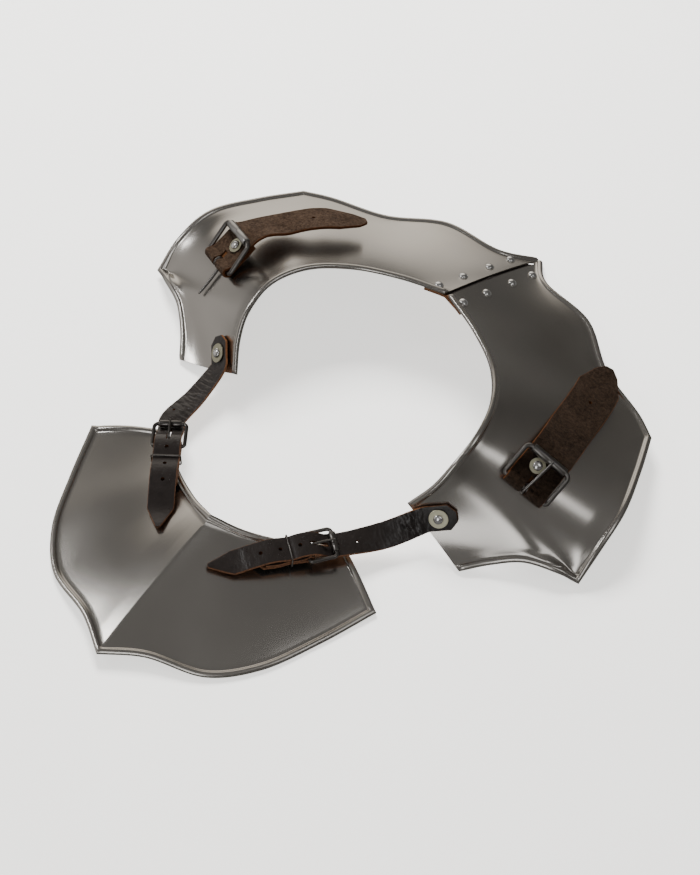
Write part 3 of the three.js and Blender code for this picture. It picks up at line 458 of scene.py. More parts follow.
def suede_material(name, light, dark, raw):
    """Brushed split leather: clumps of nap in two sizes. The attribute cut is 1 on raw cut edges."""
    material, n, shader, place = new_material(name)
    cut = n.add("ShaderNodeAttribute", attribute_name="cut").outputs["Fac"]
    nap = n.noise(place, 1300.0, 4, 0.75)
    clumps = n.noise(place, 480.0, 4, 0.65)
    patches = n.noise(place, 70.0, 3, 0.55)
    mottled = n.math("ADD", n.math("MULTIPLY", nap, 0.4), n.math("MULTIPLY", clumps, 0.4))
    mottled = n.math("ADD", mottled, n.math("MULTIPLY", patches, 0.2))
    color = n.ramp(mottled, (0.4, dark), (0.6, light))
    edge = n.ramp(nap, (0.3, shade(raw, 0.5)), (0.7, shade(raw, 1.25)))
    n.put(shader["Base Color"], n.mix(cut, color, edge))
    shader["Roughness"].default_value = 0.95
    shader["Specular IOR Level"].default_value = 0.12
    bumped(n, shader, n.math("ADD", nap, n.math("MULTIPLY", clumps, 1.2)), 0.9, 0.0009)
    return material


def floor_material(color, glow):
    """Pale paper, lit from all round by a room that isn't built: its own glow stands in for that light."""
    material, n, shader, place = new_material("Studio paper")
    n.put(shader["Base Color"], n.ramp(n.noise(place, 9.0, 4), (0.3, shade(color, 0.97)), (0.7, color)))
    shader["Roughness"].default_value = 0.95
    shader["Specular IOR Level"].default_value = 0.1
    shader["Emission Color"].default_value = (*color, 1)
    shader["Emission Strength"].default_value = glow
    return material


# Steel plates

# The rolled edge's section: inset from the plate's edge, and height over the sheet. It goes from low on the
# outer side over the roll to the groove beside it.
ROLL = {"radius": 0.00215, "centre": 0.0001, "squash": 0.84}
ROLL_ANGLES = np.radians(np.linspace(212, 14, 13))
ROLL_FOOT = [(0.0046, 0.0003), (0.0050, 0.0001), (BEAD_WIDTH, 0.0)]
ROLL_SECTION = [
    (ROLL["radius"] * (1 + math.cos(a)), ROLL["centre"] + ROLL["squash"] * ROLL["radius"] * math.sin(a))
    for a in ROLL_ANGLES
] + ROLL_FOOT


def edge_path(a, b, table, outwards):
    """Edge from a to b through a table; outwards is the side of the plan that its out shares lean to."""
    a, b = np.asarray(a, float), np.asarray(b, float)
    chord = b - a
    length = np.hypot(*chord[:2])
    side = vec(chord[1], -chord[0], 0) / length
    if side @ np.asarray(outwards, float) < 0:
        side = -side
    between = [a + chord * along + side * out * length + vec(0, 0, up * length) for along, out, up in table]
    return Path([a, *between, b])


def stretch(path, start, end, count=9):
    """The part of a path between two shares of its length."""
    return Path(path.at(np.linspace(start, end, count)))


class Sheet:
    """A plate's upper face, ruled by lines from its outer edge to its neck edge, with a bowed middle."""

    def __init__(self, spans, bow, rolled_ends, seam_bow=None):
        rows = [self.lines(spans, k, rolled_ends) for k in range(len(spans))]
        for key in ("at", "inset", "start", "end", "start_in", "end_in", "normal"):
            setattr(self, key, np.concatenate([row[key] for row in rows]))
        run = np.clip(self.at / SEAM_RUN, 0, 1)
        seam_bow = bow if seam_bow is None else seam_bow
        self.bow = (seam_bow + (bow - seam_bow) * run**2 * (3 - 2 * run))[:, None]
        self.outer_walk = walked(self.start)

    def lines(self, spans, k, rolled_ends):
        """The lines of span k, with their inward directions and normals at both edges."""
        outer, neck, steps = spans[k]
        places = np.linspace(0, 1, steps + 1)
        first, last = k == 0, k == len(spans) - 1
        insets = np.full(len(places), np.inf)
        neck_places = places.copy()
        if rolled_ends and (first or last):
            end = 0.0 if first else 1.0
            rule = unit(neck.at(end)[0] - outer.at(end)[0])
            sign = 1 if first else -1
            rolled = np.array([max(inset, 0) for inset, _ in ROLL_SECTION])

            def shares(path):
                """Where the end roll's section crosses an edge, as shares of that edge."""
                slant = np.linalg.norm(np.cross(path.tangents(end)[0], rule))
                return end + sign * rolled / (path.length * slant)

            keep = np.abs(places - end) * outer.length > BEAD_WIDTH + 0.002
            pieces = [(shares(outer), shares(neck), rolled), (places[keep], neck_places[keep], insets[keep])]
            if last:
                pieces = [pieces[1], tuple(a[::-1] for a in pieces[0])]
            places, neck_places, insets = (np.concatenate([p[m] for p in pieces]) for m in range(3))
        if k:
            places, neck_places, insets = places[1:], neck_places[1:], insets[1:]
        start, end_points = outer.at(places), neck.at(neck_places)
        rule = unit(end_points - start)
        outer_tangent, neck_tangent = outer.tangents(places), neck.tangents(neck_places)
        start_in = self.inwards(rule, outer_tangent)
        end_in = self.inwards(-rule, neck_tangent)
        normal = unit(np.cross(rule, outer_tangent))
        if not last:
            start_in += self.mitred(spans, k, k + 1, 0, 1, places)
            end_in += self.mitred(spans, k, k + 1, 1, 0, neck_places)
            after = spans[k + 1][0].tangents(0)[0]
            normal[-1] = unit(unit(np.cross(rule[-1], outer_tangent[-1])) + unit(np.cross(rule[-1], after)))
        if not first:
            start_in += self.mitred(spans, k, k - 1, 0, 1, places)
            end_in += self.mitred(spans, k, k - 1, 1, 0, neck_places)
        at_end = np.isfinite(insets) if rolled_ends else ((places == 0) & first) | ((places == 1) & last)
        for i in np.flatnonzero(at_end):
            start_in[i] = rule[i] / np.linalg.norm(np.cross(outer_tangent[i], rule[i]))
            end_in[i] = -rule[i] / np.linalg.norm(np.cross(neck_tangent[i], rule[i]))
        normal *= np.sign(normal[:, 2:])
        return {"at": k + places, "inset": insets, "start": start, "end": end_points, "start_in": start_in,
                "end_in": end_in, "normal": normal}

    @staticmethod
    def inwards(rule, tangent):
        """Square to an edge, within the sheet."""
        return unit(rule - tangent * np.sum(rule * tangent, axis=1)[:, None])

    def mitred(self, spans, k, other, edge, facing, places):
        """What to add to the inward directions beside a corner, so that the roll runs into its mitre without
        folding over itself. edge and facing are 0 for the outer edge and 1 for the neck edge."""
        here, there = (1.0, 0.0) if other > k else (0.0, 1.0)
        path = spans[k][edge]
        corner = path.at(here)
        rule = unit(spans[k][facing].at(here) - corner)
        own = self.inwards(rule, path.tangents(here))[0]
        next_door = self.inwards(rule, spans[other][edge].tangents(there))[0]
        mitre = (own + next_door) / (1 + own @ next_door)
        nearness = np.clip(1 - np.abs(places - here) * path.length / MITRE_RUN, 0, 1)
        return nearness[:, None] * (mitre - own)

    def across(self, v):
        """Points of every line at share v of the way between the two rolls."""
        low, high = self.start + self.start_in * BEAD_WIDTH, self.end + self.end_in * BEAD_WIDTH
        return low + (high - low) * v + self.normal * self.bow * max(0, 4 * v * (1 - v))

    def spot(self, at, v):
        """Point and normal of the upper face: at counts spans from the plate's first end."""
        i = max(1, int(np.searchsorted(self.at, at)))
        here, near, far = self.across(v), self.across(max(0, v - 0.1)), self.across(min(1, v + 0.1))
        share = (at - self.at[i - 1]) / (self.at[i] - self.at[i - 1])
        point = here[i - 1] * (1 - share) + here[i] * share
        normal = unit(np.cross(far[i - 1] - near[i - 1], here[i] - here[i - 1]))
        return point + NECK_AXIS, normal * np.sign(normal[2])


# How far from a corner the roll turns into its mitre.
MITRE_RUN = 0.016
BACK_STEPS = (76, 62, 54)
FRONT_STEPS = 84


def back_sheet(side):
    """Upper face of a back plate; side is 1 on the wearer's left."""
    def corner(out, back, rise):
        """A corner on this side."""
        return vec(side * out, back, rise)

    seam = vec(side * SEAM_GAP / 2, 0, 0)
    corners = [corner(*place) for place in (BACK_TIP, BACK_CORNER, SHOULDER_CORNER, FRONT_CORNER)]
    corners[0] += seam
    turns = np.radians([turn for turn, _, _ in NECK_EDGE])
    points = [
        vec(side * radius * NECK_RADIUS * math.sin(a), radius * NECK_RADIUS * math.cos(a), rise * NECK_RISE)
        for a, (_, radius, rise) in zip(turns, NECK_EDGE)
    ]
    points[0] += seam
    neck = Path(points)
    outwards = [(side, 2, 0), (side, 0, 0), (side, -1, 0)]
    tables = [BACK_EDGE, SHOULDER_EDGE, FRONT_EDGE]
    spans = [
        (edge_path(corners[k], corners[k + 1], tables[k], outwards[k]),
         stretch(neck, NECK_STOPS[k], NECK_STOPS[k + 1]), BACK_STEPS[k])
        for k in range(3)
    ]
    return Sheet(spans, FLARE, False, SEAM_BOW)


def front_sheet():
    """Upper face of the front plate."""
    turn = np.array(Matrix.Rotation(FRONT_TURN, 3, "Z"))

    def laid(path, backwards):
        """An edge in its place in front of the neck."""
        points = path.points @ turn.T + np.array(FRONT_SHIFT)
        return Path(points[::-1] if backwards else points)

    spans = []
    for side, backwards in ((1, False), (-1, True)):
        corner = vec(side * FRONT_HALF_WIDTH, 0, FRONT_RISE["corner"])
        slope, up = FRONT_TOP_SLOPE
        neck_corner = vec(side * (FRONT_HALF_WIDTH - slope), up, FRONT_RISE["neck"])
        tip = vec(0, -FRONT_LENGTH, RIDGE_RISE["tip"])
        neck_middle = vec(0, -FRONT_NECK_DROP, RIDGE_RISE["neck"])
        outer = edge_path(corner, tip, FRONT_SIDE, (side, -1, 0))
        neck = edge_path(neck_corner, neck_middle, FRONT_NECK, (side, -1, 0))
        spans.append((laid(outer, backwards), laid(neck, backwards), FRONT_STEPS))
    return Sheet(spans, FRONT_BULGE, True)


# The roll sinks over this way at both ends of the seam.
ROLL_FADE = 0.004
# Times that a plate's creases are softened, and the shares of its width over which that starts at each edge.
CREASE_STEPS = 110
CREASE_FADE = (0.10, 0.08)


def plate_object(name, sheet, middles, crease_share, material):
    """Closed mesh of a plate: its upper face with the rolled edge, its lower face and the walls between.
    crease_share softens the creases that run in from the outer corners, and is 0 for a sharp ridge."""
    insets = np.array([inset for inset, _ in ROLL_SECTION])
    heights = np.array([height for _, height in ROLL_SECTION])
    count = len(insets)
    shares = np.linspace(0, 1, middles)
    middle = np.stack([sheet.across(v) for v in shares], axis=1)
    low_fade, high_fade = (np.clip(way / fade, 0, 1) for way, fade in zip((shares, 1 - shares), CREASE_FADE))
    soften = (crease_share * low_fade * high_fade)[None, :, None]
    for _ in range(CREASE_STEPS):
        middle[1:-1] += soften * (0.5 * (middle[:-2] + middle[2:]) - middle[1:-1])
    low = sheet.start[:, None] + sheet.start_in[:, None] * insets[None, :-1, None]
    high = sheet.end[:, None] + sheet.end_in[:, None] * insets[None, :-1, None]
    base = np.concatenate([low, middle, high[:, ::-1]], axis=1)
    columns = base.shape[1]
    from_edge = np.minimum(np.arange(columns), columns - 1 - np.arange(columns))
    by_column = np.minimum(from_edge, count - 1)
    by_line = np.full(len(sheet.at), count - 1)
    finite = np.isfinite(sheet.inset)
    ends = np.flatnonzero(finite)
    by_line[ends] = np.minimum(ends, len(sheet.at) - 1 - ends)
    rise = heights[np.minimum(by_column[None, :], by_line[:, None])]
    if not finite.any():
        walk = sheet.outer_walk
        near = np.minimum(walk, walk[-1] - walk)
        fade = np.sqrt(np.clip(1 - np.clip(1 - near / ROLL_FADE, 0, 1) ** 2, 0.02, 1))[:, None]
        rise = np.where(rise > 0, rise * fade, rise)
    upper = base + sheet.normal[:, None] * rise[..., None]
    under_inset = np.maximum(insets, insets[0])
    floor_low = sheet.start[:, None] + sheet.start_in[:, None] * under_inset[None, :-1, None]
    floor_high = sheet.end[:, None] + sheet.end_in[:, None] * under_inset[None, :-1, None]
    lower = np.concatenate([floor_low, middle, floor_high[:, ::-1]], axis=1) - sheet.normal[:, None] * SHEET
    rows = len(sheet.at)
    vertices = np.concatenate([upper.reshape(-1, 3), lower.reshape(-1, 3)]) + NECK_AXIS
    half = rows * columns
    faces = grid_faces(rows, columns) + [f[::-1] for f in grid_faces(rows, columns, half)]
    rim = [(i, 0) for i in range(rows)] + [(rows - 1, j) for j in range(1, columns)]
    rim += [(i, columns - 1) for i in range(rows - 2, -1, -1)] + [(0, j) for j in range(columns - 2, 0, -1)]
    loop = [i * columns + j for i, j in rim]
    faces += [(a, b, b + half, a + half) for a, b in zip(loop, loop[1:] + loop[:1])]
    plate = make_object(name, vertices, faces, [material])
    rim_share = np.interp(rise, [0, ROLL["radius"]], [0, 1])
    return marked(plate, "rim", vertices, np.concatenate([rim_share.ravel(), np.zeros(half)]))


# Straps

def solid_tree(node):
    """Ray casting on a CAD node's surface."""
    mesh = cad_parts[node].data
    return BVHTree.FromPolygons([v.co for v in mesh.vertices], [p.vertices for p in mesh.polygons])


def band_object(name, centres, ups, halves, thickness, materials, across=None, folded=0, wrinkle=None,
                flip=False):
    """A leather strip with rounded cut edges along centres. ups is its grain side's direction at each point,
    halves its half width. The first folded rows lie across one direction. wrinkle(share, side) lifts the
    grain side. flip puts the grain side below."""
    centres = np.asarray(centres, float)
    along = headings(centres)
    sides = unit(np.cross(np.asarray(ups, float), along))
    if folded:
        sides[:folded] = across
    tops = np.cross(along, sides)
    walk = walked(centres)
    edge = thickness * 0.22
    sign = -1 if flip else 1

    def cut_edge(side, half, way):
        """Points (across, height, cut) down one edge, a little uneven along the strap."""
        half *= 1 + 0.012 * noise.noise(Vector((way * 260, side * 3.1, 7.7)))
        return [(side * (half - edge * 0.3), thickness / 2 - edge * 0.5, 0.75),
                (side * half, thickness * 0.2, 1.0), (side * half, -thickness * 0.25, 1.0),
                (side * (half - edge), -thickness / 2, 1.0)]

    vertices, cut, uvs = [], [], []
    for i, (half, way) in enumerate(zip(halves, walk)):
        row = []
        for p in np.linspace(-1, 1, 15):
            lift = wrinkle(way, p) if wrinkle else 0
            row.append((p * (half - edge), thickness / 2 - 0.06 * thickness * p * p + lift, 0.0))
        row += cut_edge(1, half, way)
        row += [(p * (half - edge * 2), -thickness / 2, 1.0) for p in np.linspace(1, -1, 7)]
        row += cut_edge(-1, half, way)[::-1]
        for s, t, c in row:
            vertices.append(centres[i] + sides[i] * s + tops[i] * t * sign)
            cut.append(c)
            uvs.append((way, s))
    obj = make_object(name, vertices, skin(len(centres), len(row)), materials, uvs)
    return marked(obj, "cut", vertices, cut)


def punched(obj, cutters):
    """Cuts closed cutter objects out of a strap and removes them."""
    for cutter in cutters:
        modifier = obj.modifiers.new("Punch", "BOOLEAN")
        modifier.operation = "DIFFERENCE"
        modifier.solver = "EXACT"
        modifier.material_mode = "TRANSFER"
        modifier.object = cutter
    bpy.context.view_layer.update()
    evaluated = obj.evaluated_get(bpy.context.evaluated_depsgraph_get())
    mesh = bpy.data.meshes.new_from_object(evaluated)
    obj.modifiers.clear()
    old = obj.data
    obj.data = mesh
    bpy.data.meshes.remove(old)
    mesh.name = obj.name
    for cutter in cutters:
        bpy.data.objects.remove(cutter)
    finish_mesh(obj)
    return obj


def round_punch(centre, axis, radius, depth, material):
    """A cutter for a round hole."""
    x = unit(np.cross(axis, vec(0.3, 0.9, 0.1)))
    y = np.cross(axis, x)
    vertices, faces = lathe([(0, -depth), (radius, -depth), (radius, depth), (0, depth)], 20)
    return make_object("punch", placed(vertices, x, y, axis, centre), faces, [material])


def box_punch(seat, low, high, material):
    """A cutter for a slit, between two corners in a buckle's axes."""
    corners = [(x, y, z) for x in (low[0], high[0]) for y in (low[1], high[1]) for z in (low[2], high[2])]
    faces = [(0, 1, 3, 2), (4, 6, 7, 5), (0, 4, 5, 1), (2, 3, 7, 6), (0, 2, 6, 4), (1, 5, 7, 3)]
    return make_object("slit", placed(corners, seat.x, seat.y, seat.z, seat.bar), faces, [material])


def taper(rows, distances):
    """Share of the half width at distances from a strap's end, from rows of (distance, share)."""
    return np.interp(distances, [d for d, _ in rows], [s for _, s in rows])


# Buckles, from their CAD solids

def points_of(node):
    """Vertices of a CAD node."""
    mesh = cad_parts[node].data
    points = np.empty(len(mesh.vertices) * 3, np.float32)
    mesh.vertices.foreach_get("co", points)
    return np.unique(points.reshape(-1, 3).astype(float).round(7), axis=0)


def spin_axis(node):
    """Centre and axis of a turned solid: the direction in which its spread differs from the other two."""
    points = points_of(node)
    values, directions = np.linalg.eigh(np.cov((points - points.mean(0)).T))
    odd = 0 if values[1] - values[0] > values[2] - values[1] else 2
    axis = directions[:, odd]
    along = points @ axis
    across = points - np.outer(along, axis)
    middle = (across.max(0) + across.min(0)) / 2
    centre = middle - axis * (middle @ axis) + axis * (along.max() + along.min()) / 2
    return centre, axis * (1 if axis[2] >= 0 else -1)


class Seat:
    """Where a buckle sits: its bar's middle, x to the roller, y along the bar, z off the plate; lift is the
    direction square to the buckle's own plane and reach the way from the bar to the roller in it."""

    def __init__(self, prefix, pin, size):
        self.roller, self.y = spin_axis(prefix + "_buckle_roller")
        _, self.z = spin_axis(pin)
        points = points_of(prefix + "_buckle_frame")
        toward = self.roller - points.mean(0)
        self.x = np.cross(self.y, self.z)
        if self.x @ toward < 0:
            self.x, self.y = -self.x, -self.y
        self.x = unit(self.x)
        _, directions = np.linalg.eigh(np.cov((points - points.mean(0)).T))
        self.lift = directions[:, 0] * np.sign(directions[:, 0] @ self.z)
        self.reach = unit(np.cross(self.y, self.lift))
        self.span = size["reach"] / (self.reach @ self.x)
        self.bar = self.roller - self.reach * self.span
        self.size = size

    def flat(self, along, height, across=0.0):
        """Point by its distance from the bar: along x, off the plate, and along the bar."""
        return self.bar + self.x * along + self.z * height + self.y * across


def rounded_loop(low, high, half, low_corner, high_corner, steps):
    """Points (along, across) of a loop from low to high, with its two corner radii."""
    corners = [(high - high_corner, half - high_corner, high_corner),
               (low + low_corner, half - low_corner, low_corner),
               (low + low_corner, low_corner - half, low_corner),
               (high - high_corner, high_corner - half, high_corner)]
    return [(along + radius * math.cos(a), across + radius * math.sin(a))
            for k, (along, across, radius) in enumerate(corners)
            for a in np.radians(np.linspace(90 * k, 90 * k + 90, steps))]


def end_tree(n, geometry, given, output):
    """Ends a Geometry Nodes tree: instances made real, with their finish."""
    real = n.add("GeometryNodeRealizeInstances", {"Geometry": geometry})
    finished = n.add("GeometryNodeSetMaterial", {"Geometry": real.outputs["Geometry"],
                                                 "Material": given["Finish"]})
    n.put(output, finished.outputs["Geometry"])


def wire_tree():
    """Geometry Nodes: a round wire along a curve, with named inputs for its radius, sides and material."""
    tree, n, given, out = group_tree(
        "Round wire", "GeometryNodeTree",
        [("Path", "NodeSocketGeometry"), ("Radius", "NodeSocketFloat"), ("Sides", "NodeSocketInt"),
         ("Finish", "NodeSocketMaterial")],
        [("Wire", "NodeSocketGeometry")],
    )
    profile = n.add("GeometryNodeCurvePrimitiveCircle", {"Radius": given["Radius"],
                                                         "Resolution": given["Sides"]})
    along = n.add("GeometryNodeMeshToCurve", {"Mesh": given["Path"]})
    swept = n.add("GeometryNodeCurveToMesh", {"Curve": along.outputs["Curve"],
                                              "Profile Curve": profile.outputs["Curve"]})
    smooth = n.add("GeometryNodeSetShadeSmooth", {"Geometry": swept.outputs["Mesh"]})
    end_tree(n, smooth.outputs["Geometry"], given, out["Wire"])
    return tree


def copies_tree():
    """Geometry Nodes: copies of one shape on points, each turned to the points' own axis attribute."""
    tree, n, given, out = group_tree(
        "Copies on points", "GeometryNodeTree",
        [("Points", "NodeSocketGeometry"), ("Shape", "NodeSocketObject"), ("Finish", "NodeSocketMaterial")],
        [("Copies", "NodeSocketGeometry")],
    )
    shape = n.add("GeometryNodeObjectInfo", {"Object": given["Shape"]})
    axis = n.add("GeometryNodeInputNamedAttribute", {"Name": "axis"}, data_type="FLOAT_VECTOR")
    turn = n.add("FunctionNodeAlignRotationToVector", {"Vector": axis.outputs["Attribute"]}, axis="Z")
    copies = n.add("GeometryNodeInstanceOnPoints", {
        "Points": given["Points"], "Instance": shape.outputs["Geometry"],
        "Rotation": turn.outputs["Rotation"]})
    end_tree(n, copies.outputs["Instances"], given, out["Copies"])
    return tree


def set_inputs(modifier, tree, values):
    """Sets a modifier's inputs by name, through their identifiers."""
    for item in tree.interface.items_tree:
        if item.item_type == "SOCKET" and item.in_out == "INPUT" and item.name in values:
            modifier[item.identifier] = values[item.name]


def grown(name, vertices, edges, tree, values, axes=None):
    """The plain mesh that a node tree grows from points and edges."""
    mesh = bpy.data.meshes.new(name)
    mesh.from_pydata([tuple(v) for v in vertices], edges, [])
    if axes is not None:
        layer = mesh.attributes.new("axis", "FLOAT_VECTOR", "POINT")
        layer.data.foreach_set("vector", np.asarray(axes, np.float32).ravel())
    seed = new_object(name, mesh)
    modifier = seed.modifiers.new("Grow", "NODES")
    modifier.node_group = tree
    set_inputs(modifier, tree, values)
    bpy.context.view_layer.update()
    result = bpy.data.meshes.new_from_object(seed.evaluated_get(bpy.context.evaluated_depsgraph_get()))
    seed.modifiers.clear()
    seed.data = result
    bpy.data.meshes.remove(mesh)
    result.name = name
    if not result.materials:
        result.materials.append(values["Finish"])
    finish_mesh(seed)
    return seed


def wire_loop(name, points, radius, sides, metal):
    """A closed loop of round wire."""
    edges = [(i, (i + 1) % len(points)) for i in range(len(points))]
    return grown(name, points, edges, node_group("Round wire", wire_tree),
                 {"Radius": radius, "Sides": sides, "Finish": metal})


def frame_object(prefix, seat, metal):
    """A buckle's wire frame, its bar's corners tighter than the roller's."""
    size = seat.size
    half = size["strap"] / 2 + SIDE_PLAY + size["wire"]
    loop = rounded_loop(0, seat.span, half, BAR_CORNER, size["corner"], 9)
    points = [seat.bar + seat.reach * a + seat.y * b for a, b in loop]
    return wire_loop(prefix + "_frame", points, size["wire"], 18, metal)


# The groove that the prong has worn: place along the roller, and depth.
ROLLER_GROOVE = [(-0.0016, 0), (-0.0011, 0.00012), (0, 0.0002), (0.0011, 0.00012), (0.0016, 0)]
# How far a prong's tip reaches past the roller's axis, how much it bows, and its point: way, and share of the
# wire's radius.
PRONG_PAST = 0.001
PRONG_BOW = 0.0006
PRONG_POINT = [(0.0003, 0.52), (0.0005, 0.3), (0.0006, 0.08)]


def roller_object(prefix, seat, metal):
    """A rolled sheet tube on the frame's far bar, with rounded lips and a worn groove in the middle."""
    size = seat.size
    outer, inner = size["roller"], size["wire"] + GAP
    half = size["strap"] / 2 + SIDE_PLAY + size["wire"] - size["corner"] - 0.0005
    lip = (outer - inner) * 0.4
    end = [(inner, half), (outer - lip, half), (outer - lip * 0.3, half - lip * 0.3), (outer, half - lip)]
    profile = [(radius, -place) for radius, place in end]
    profile += [(outer - dip, place) for place, dip in ROLLER_GROOVE] + end[::-1]
    vertices, faces = lathe([*profile, profile[0]], 40)
    points = placed(vertices, seat.reach, -seat.lift, seat.y, seat.roller)
    return make_object(prefix + "_roller", points, faces, [metal])


def prong_object(prefix, seat, metal, lean, aside):
    """A pointed prong, curled round the bar. lean turns it back from the roller, in degrees."""
    size = seat.size
    curl = size["wire"] + GAP + size["prong"]
    tip = vec(seat.span + PRONG_PAST, aside, size["roller"] + GAP + size["prong"])
    angles = np.radians(np.linspace(0, -270, 19))
    curled = [vec(curl * math.cos(a), 0, curl * math.sin(a)) for a in angles]
    shares = np.linspace(0, 1, 22)[1:]
    run = [curled[-1] + (tip - curled[-1]) * s + vec(0, 0, PRONG_BOW * math.sin(math.pi * s)) for s in shares]
    radii = [size["prong"]] * len(curled) + [size["prong"] * (1 - 0.35 * s**3) for s in shares]
    end = unit(tip - curled[-1])
    for ahead, slim in PRONG_POINT:
        run.append(tip + end * ahead)
        radii.append(size["prong"] * slim)
    back = Matrix.Rotation(math.radians(-lean), 3, "Y")
    points = [back @ Vector(p) for p in curled + run]
    world = placed([tuple(p) for p in points], seat.reach, seat.y, seat.lift, seat.bar)
    vertices, faces = tube(world, radii, 14, seat.y)
    return make_object(prefix + "_prong", vertices, faces, [metal])


# Settings that a user would change

def color_property(name, description, default):
    """A colour without alpha."""
    return bpy.props.FloatVectorProperty(name=name, description=description, default=default, subtype="COLOR",
                                         size=3, min=0, max=1)


class GorgetPlateSettings(bpy.types.PropertyGroup):
    """Steel plates"""
    color: color_property("Steel", "Colour of the plates", (0.56, 0.535, 0.50))
    roughness: bpy.props.FloatProperty(name="Roughness", description="Satin of the plates", default=0.24,
                                       min=0, max=1)
    soften: bpy.props.FloatProperty(name="Soften", description="How much the shoulder creases are softened",
                                    default=0.45, min=0, max=0.5)
    rows: bpy.props.IntProperty(name="Rows", description="Rows of faces between a plate's edges", default=34,
                                min=8)


class GorgetLeatherSettings(bpy.types.PropertyGroup):
    """Straps and hinge"""
    black: color_property("Black leather", "Grain side of the neck straps", (0.008, 0.0062, 0.0055))
    raw: color_property("Cut edge", "Raw edges of the neck straps", (0.15, 0.062, 0.024))
    suede_light: color_property("Suede, light", "Brushed up nap", (0.066, 0.042, 0.028))
    suede_dark: color_property("Suede, dark", "Laid down nap", (0.014, 0.008, 0.005))
    suede_raw: color_property("Suede edge", "Raw edges of the suede", (0.11, 0.042, 0.016))
    # Share by which the left shoulder strap's suede colours are made darker than the right one's.
    left_darkening: bpy.props.FloatProperty(name="Left darkening", description="How much darker the left shoulder strap is",
                                  default=0.45, min=0, max=1)
    roughness: bpy.props.FloatProperty(name="Gloss", description="Roughness of the neck straps", default=0.30,
                                       min=0, max=1)
    wrinkle: bpy.props.FloatProperty(name="Wrinkles", description="Height of the neck straps' wrinkles",
                                     default=0.00042, min=0, unit="LENGTH")


class GorgetMetalSettings(bpy.types.PropertyGroup):
    """Buckles, rivets and washers"""
    buckle: color_property("Buckles", "Dark polished wire", (0.20, 0.19, 0.18))
    # Lighter metal colour given to the right shoulder buckle's roller than to the dark wire of the other buckle
    # parts.
    roller: color_property("Light roller", "Roller that is worn bare", (0.42, 0.41, 0.40))
    rivet: color_property("Rivets", "Bright heads", (0.93, 0.92, 0.89))
    washer: color_property("Washers", "Pale washers", (0.62, 0.60, 0.45))


class GorgetStageSettings(bpy.types.PropertyGroup):
    """Floor and lights"""
    paper: color_property("Floor", "Colour of the paper floor", (0.86, 0.85, 0.82))
    glow: bpy.props.FloatProperty(name="Glow", description="Light that the floor gives off", default=1.5,
                                  min=0)
    key: bpy.props.FloatProperty(name="Key light", description="Power of the light that casts the shadows",
                                 default=42, min=0, unit="POWER")
    box: bpy.props.FloatProperty(name="Tall light", description="Power of the tall light in the steel",
                                 default=2.8, min=0, unit="POWER")
    band: bpy.props.FloatProperty(name="Strip light", description="Power of the light behind the bright band",
                                  default=1.5, min=0, unit="POWER")
    glints: bpy.props.FloatProperty(name="Glints", description="Power of the small light on rounded metal",
                                    default=3.0, min=0, unit="POWER")


# Operators

def settings(name):
    """A group of settings, kept on the scene."""
    return getattr(bpy.context.scene, name)


def finish_of(name, make):
    """A material by name, made once."""
    return bpy.data.materials.get(name) or make(name)


def node_group(name, make):
    """A node group by name, made once."""
    return bpy.data.node_groups.get(name) or make()


def plate_steel():
    """Steel of the plates."""
    s = settings("gorget_plates")
    return finish_of("Satin steel", lambda name: steel_material(
        name, node_group("Satin polish", polish_group), s.color, s.roughness, 0.05))


def wire_metal(name, color, roughness):
    """Metal of buckles, rivets and washers."""
    return finish_of(name, lambda n: steel_material(
        n, node_group("Satin polish", polish_group), color, roughness, 0.25))


def black_leather():
    """Leather of the neck straps and the hinge."""
    s = settings("gorget_leather")
    return finish_of("Black leather", lambda name: leather_material(
        name, node_group("Leather grain", grain_group), s.black, s.raw, s.roughness))


def suede(word):
    """Suede of one side's shoulder strap; the left one is darker."""
    s = settings("gorget_leather")
    left = 1 - s.left_darkening if word == "left" else 1
    light, dark = shade(s.suede_light, left), shade(s.suede_dark, left)
    return finish_of(f"Brown suede {word}", lambda name: suede_material(name, light, dark, s.suede_raw))


def raw_leather():
    """Leather inside cuts and holes."""
    s = settings("gorget_leather")
    return finish_of("Raw leather", lambda name: suede_material(
        name, shade(s.raw, 0.8), shade(s.raw, 0.3), s.raw))


class GORGET_OT_plates(bpy.types.Operator):
    """Back plates and front plate, with their rolled edges"""
    bl_idname = "gorget.plates"
    bl_label = "Plates"

    def execute(self, context):
        s = settings("gorget_plates")
        steel = plate_steel()
        for word, side in SIDES.items():
            plate = plate_object(f"{word}_back_plate", back_sheet(side), s.rows, s.soften, steel)
            settle(plate, "collar", "plate_steel", f"back_plate_{word}")
        plate = plate_object("breast_plate", front_sheet(), s.rows, 0, steel)
        settle(plate, "collar", "plate_steel", "front_plate")
        return {"FINISHED"}


# The hinge reaches this share of the first span from the seam, and these shares of the way along it.
HINGE_SIDE_AT = 0.19
HINGE_ENDS = (0.02, 1.045)
HINGE_ROWS = 40
HINGE_COLUMNS = 9


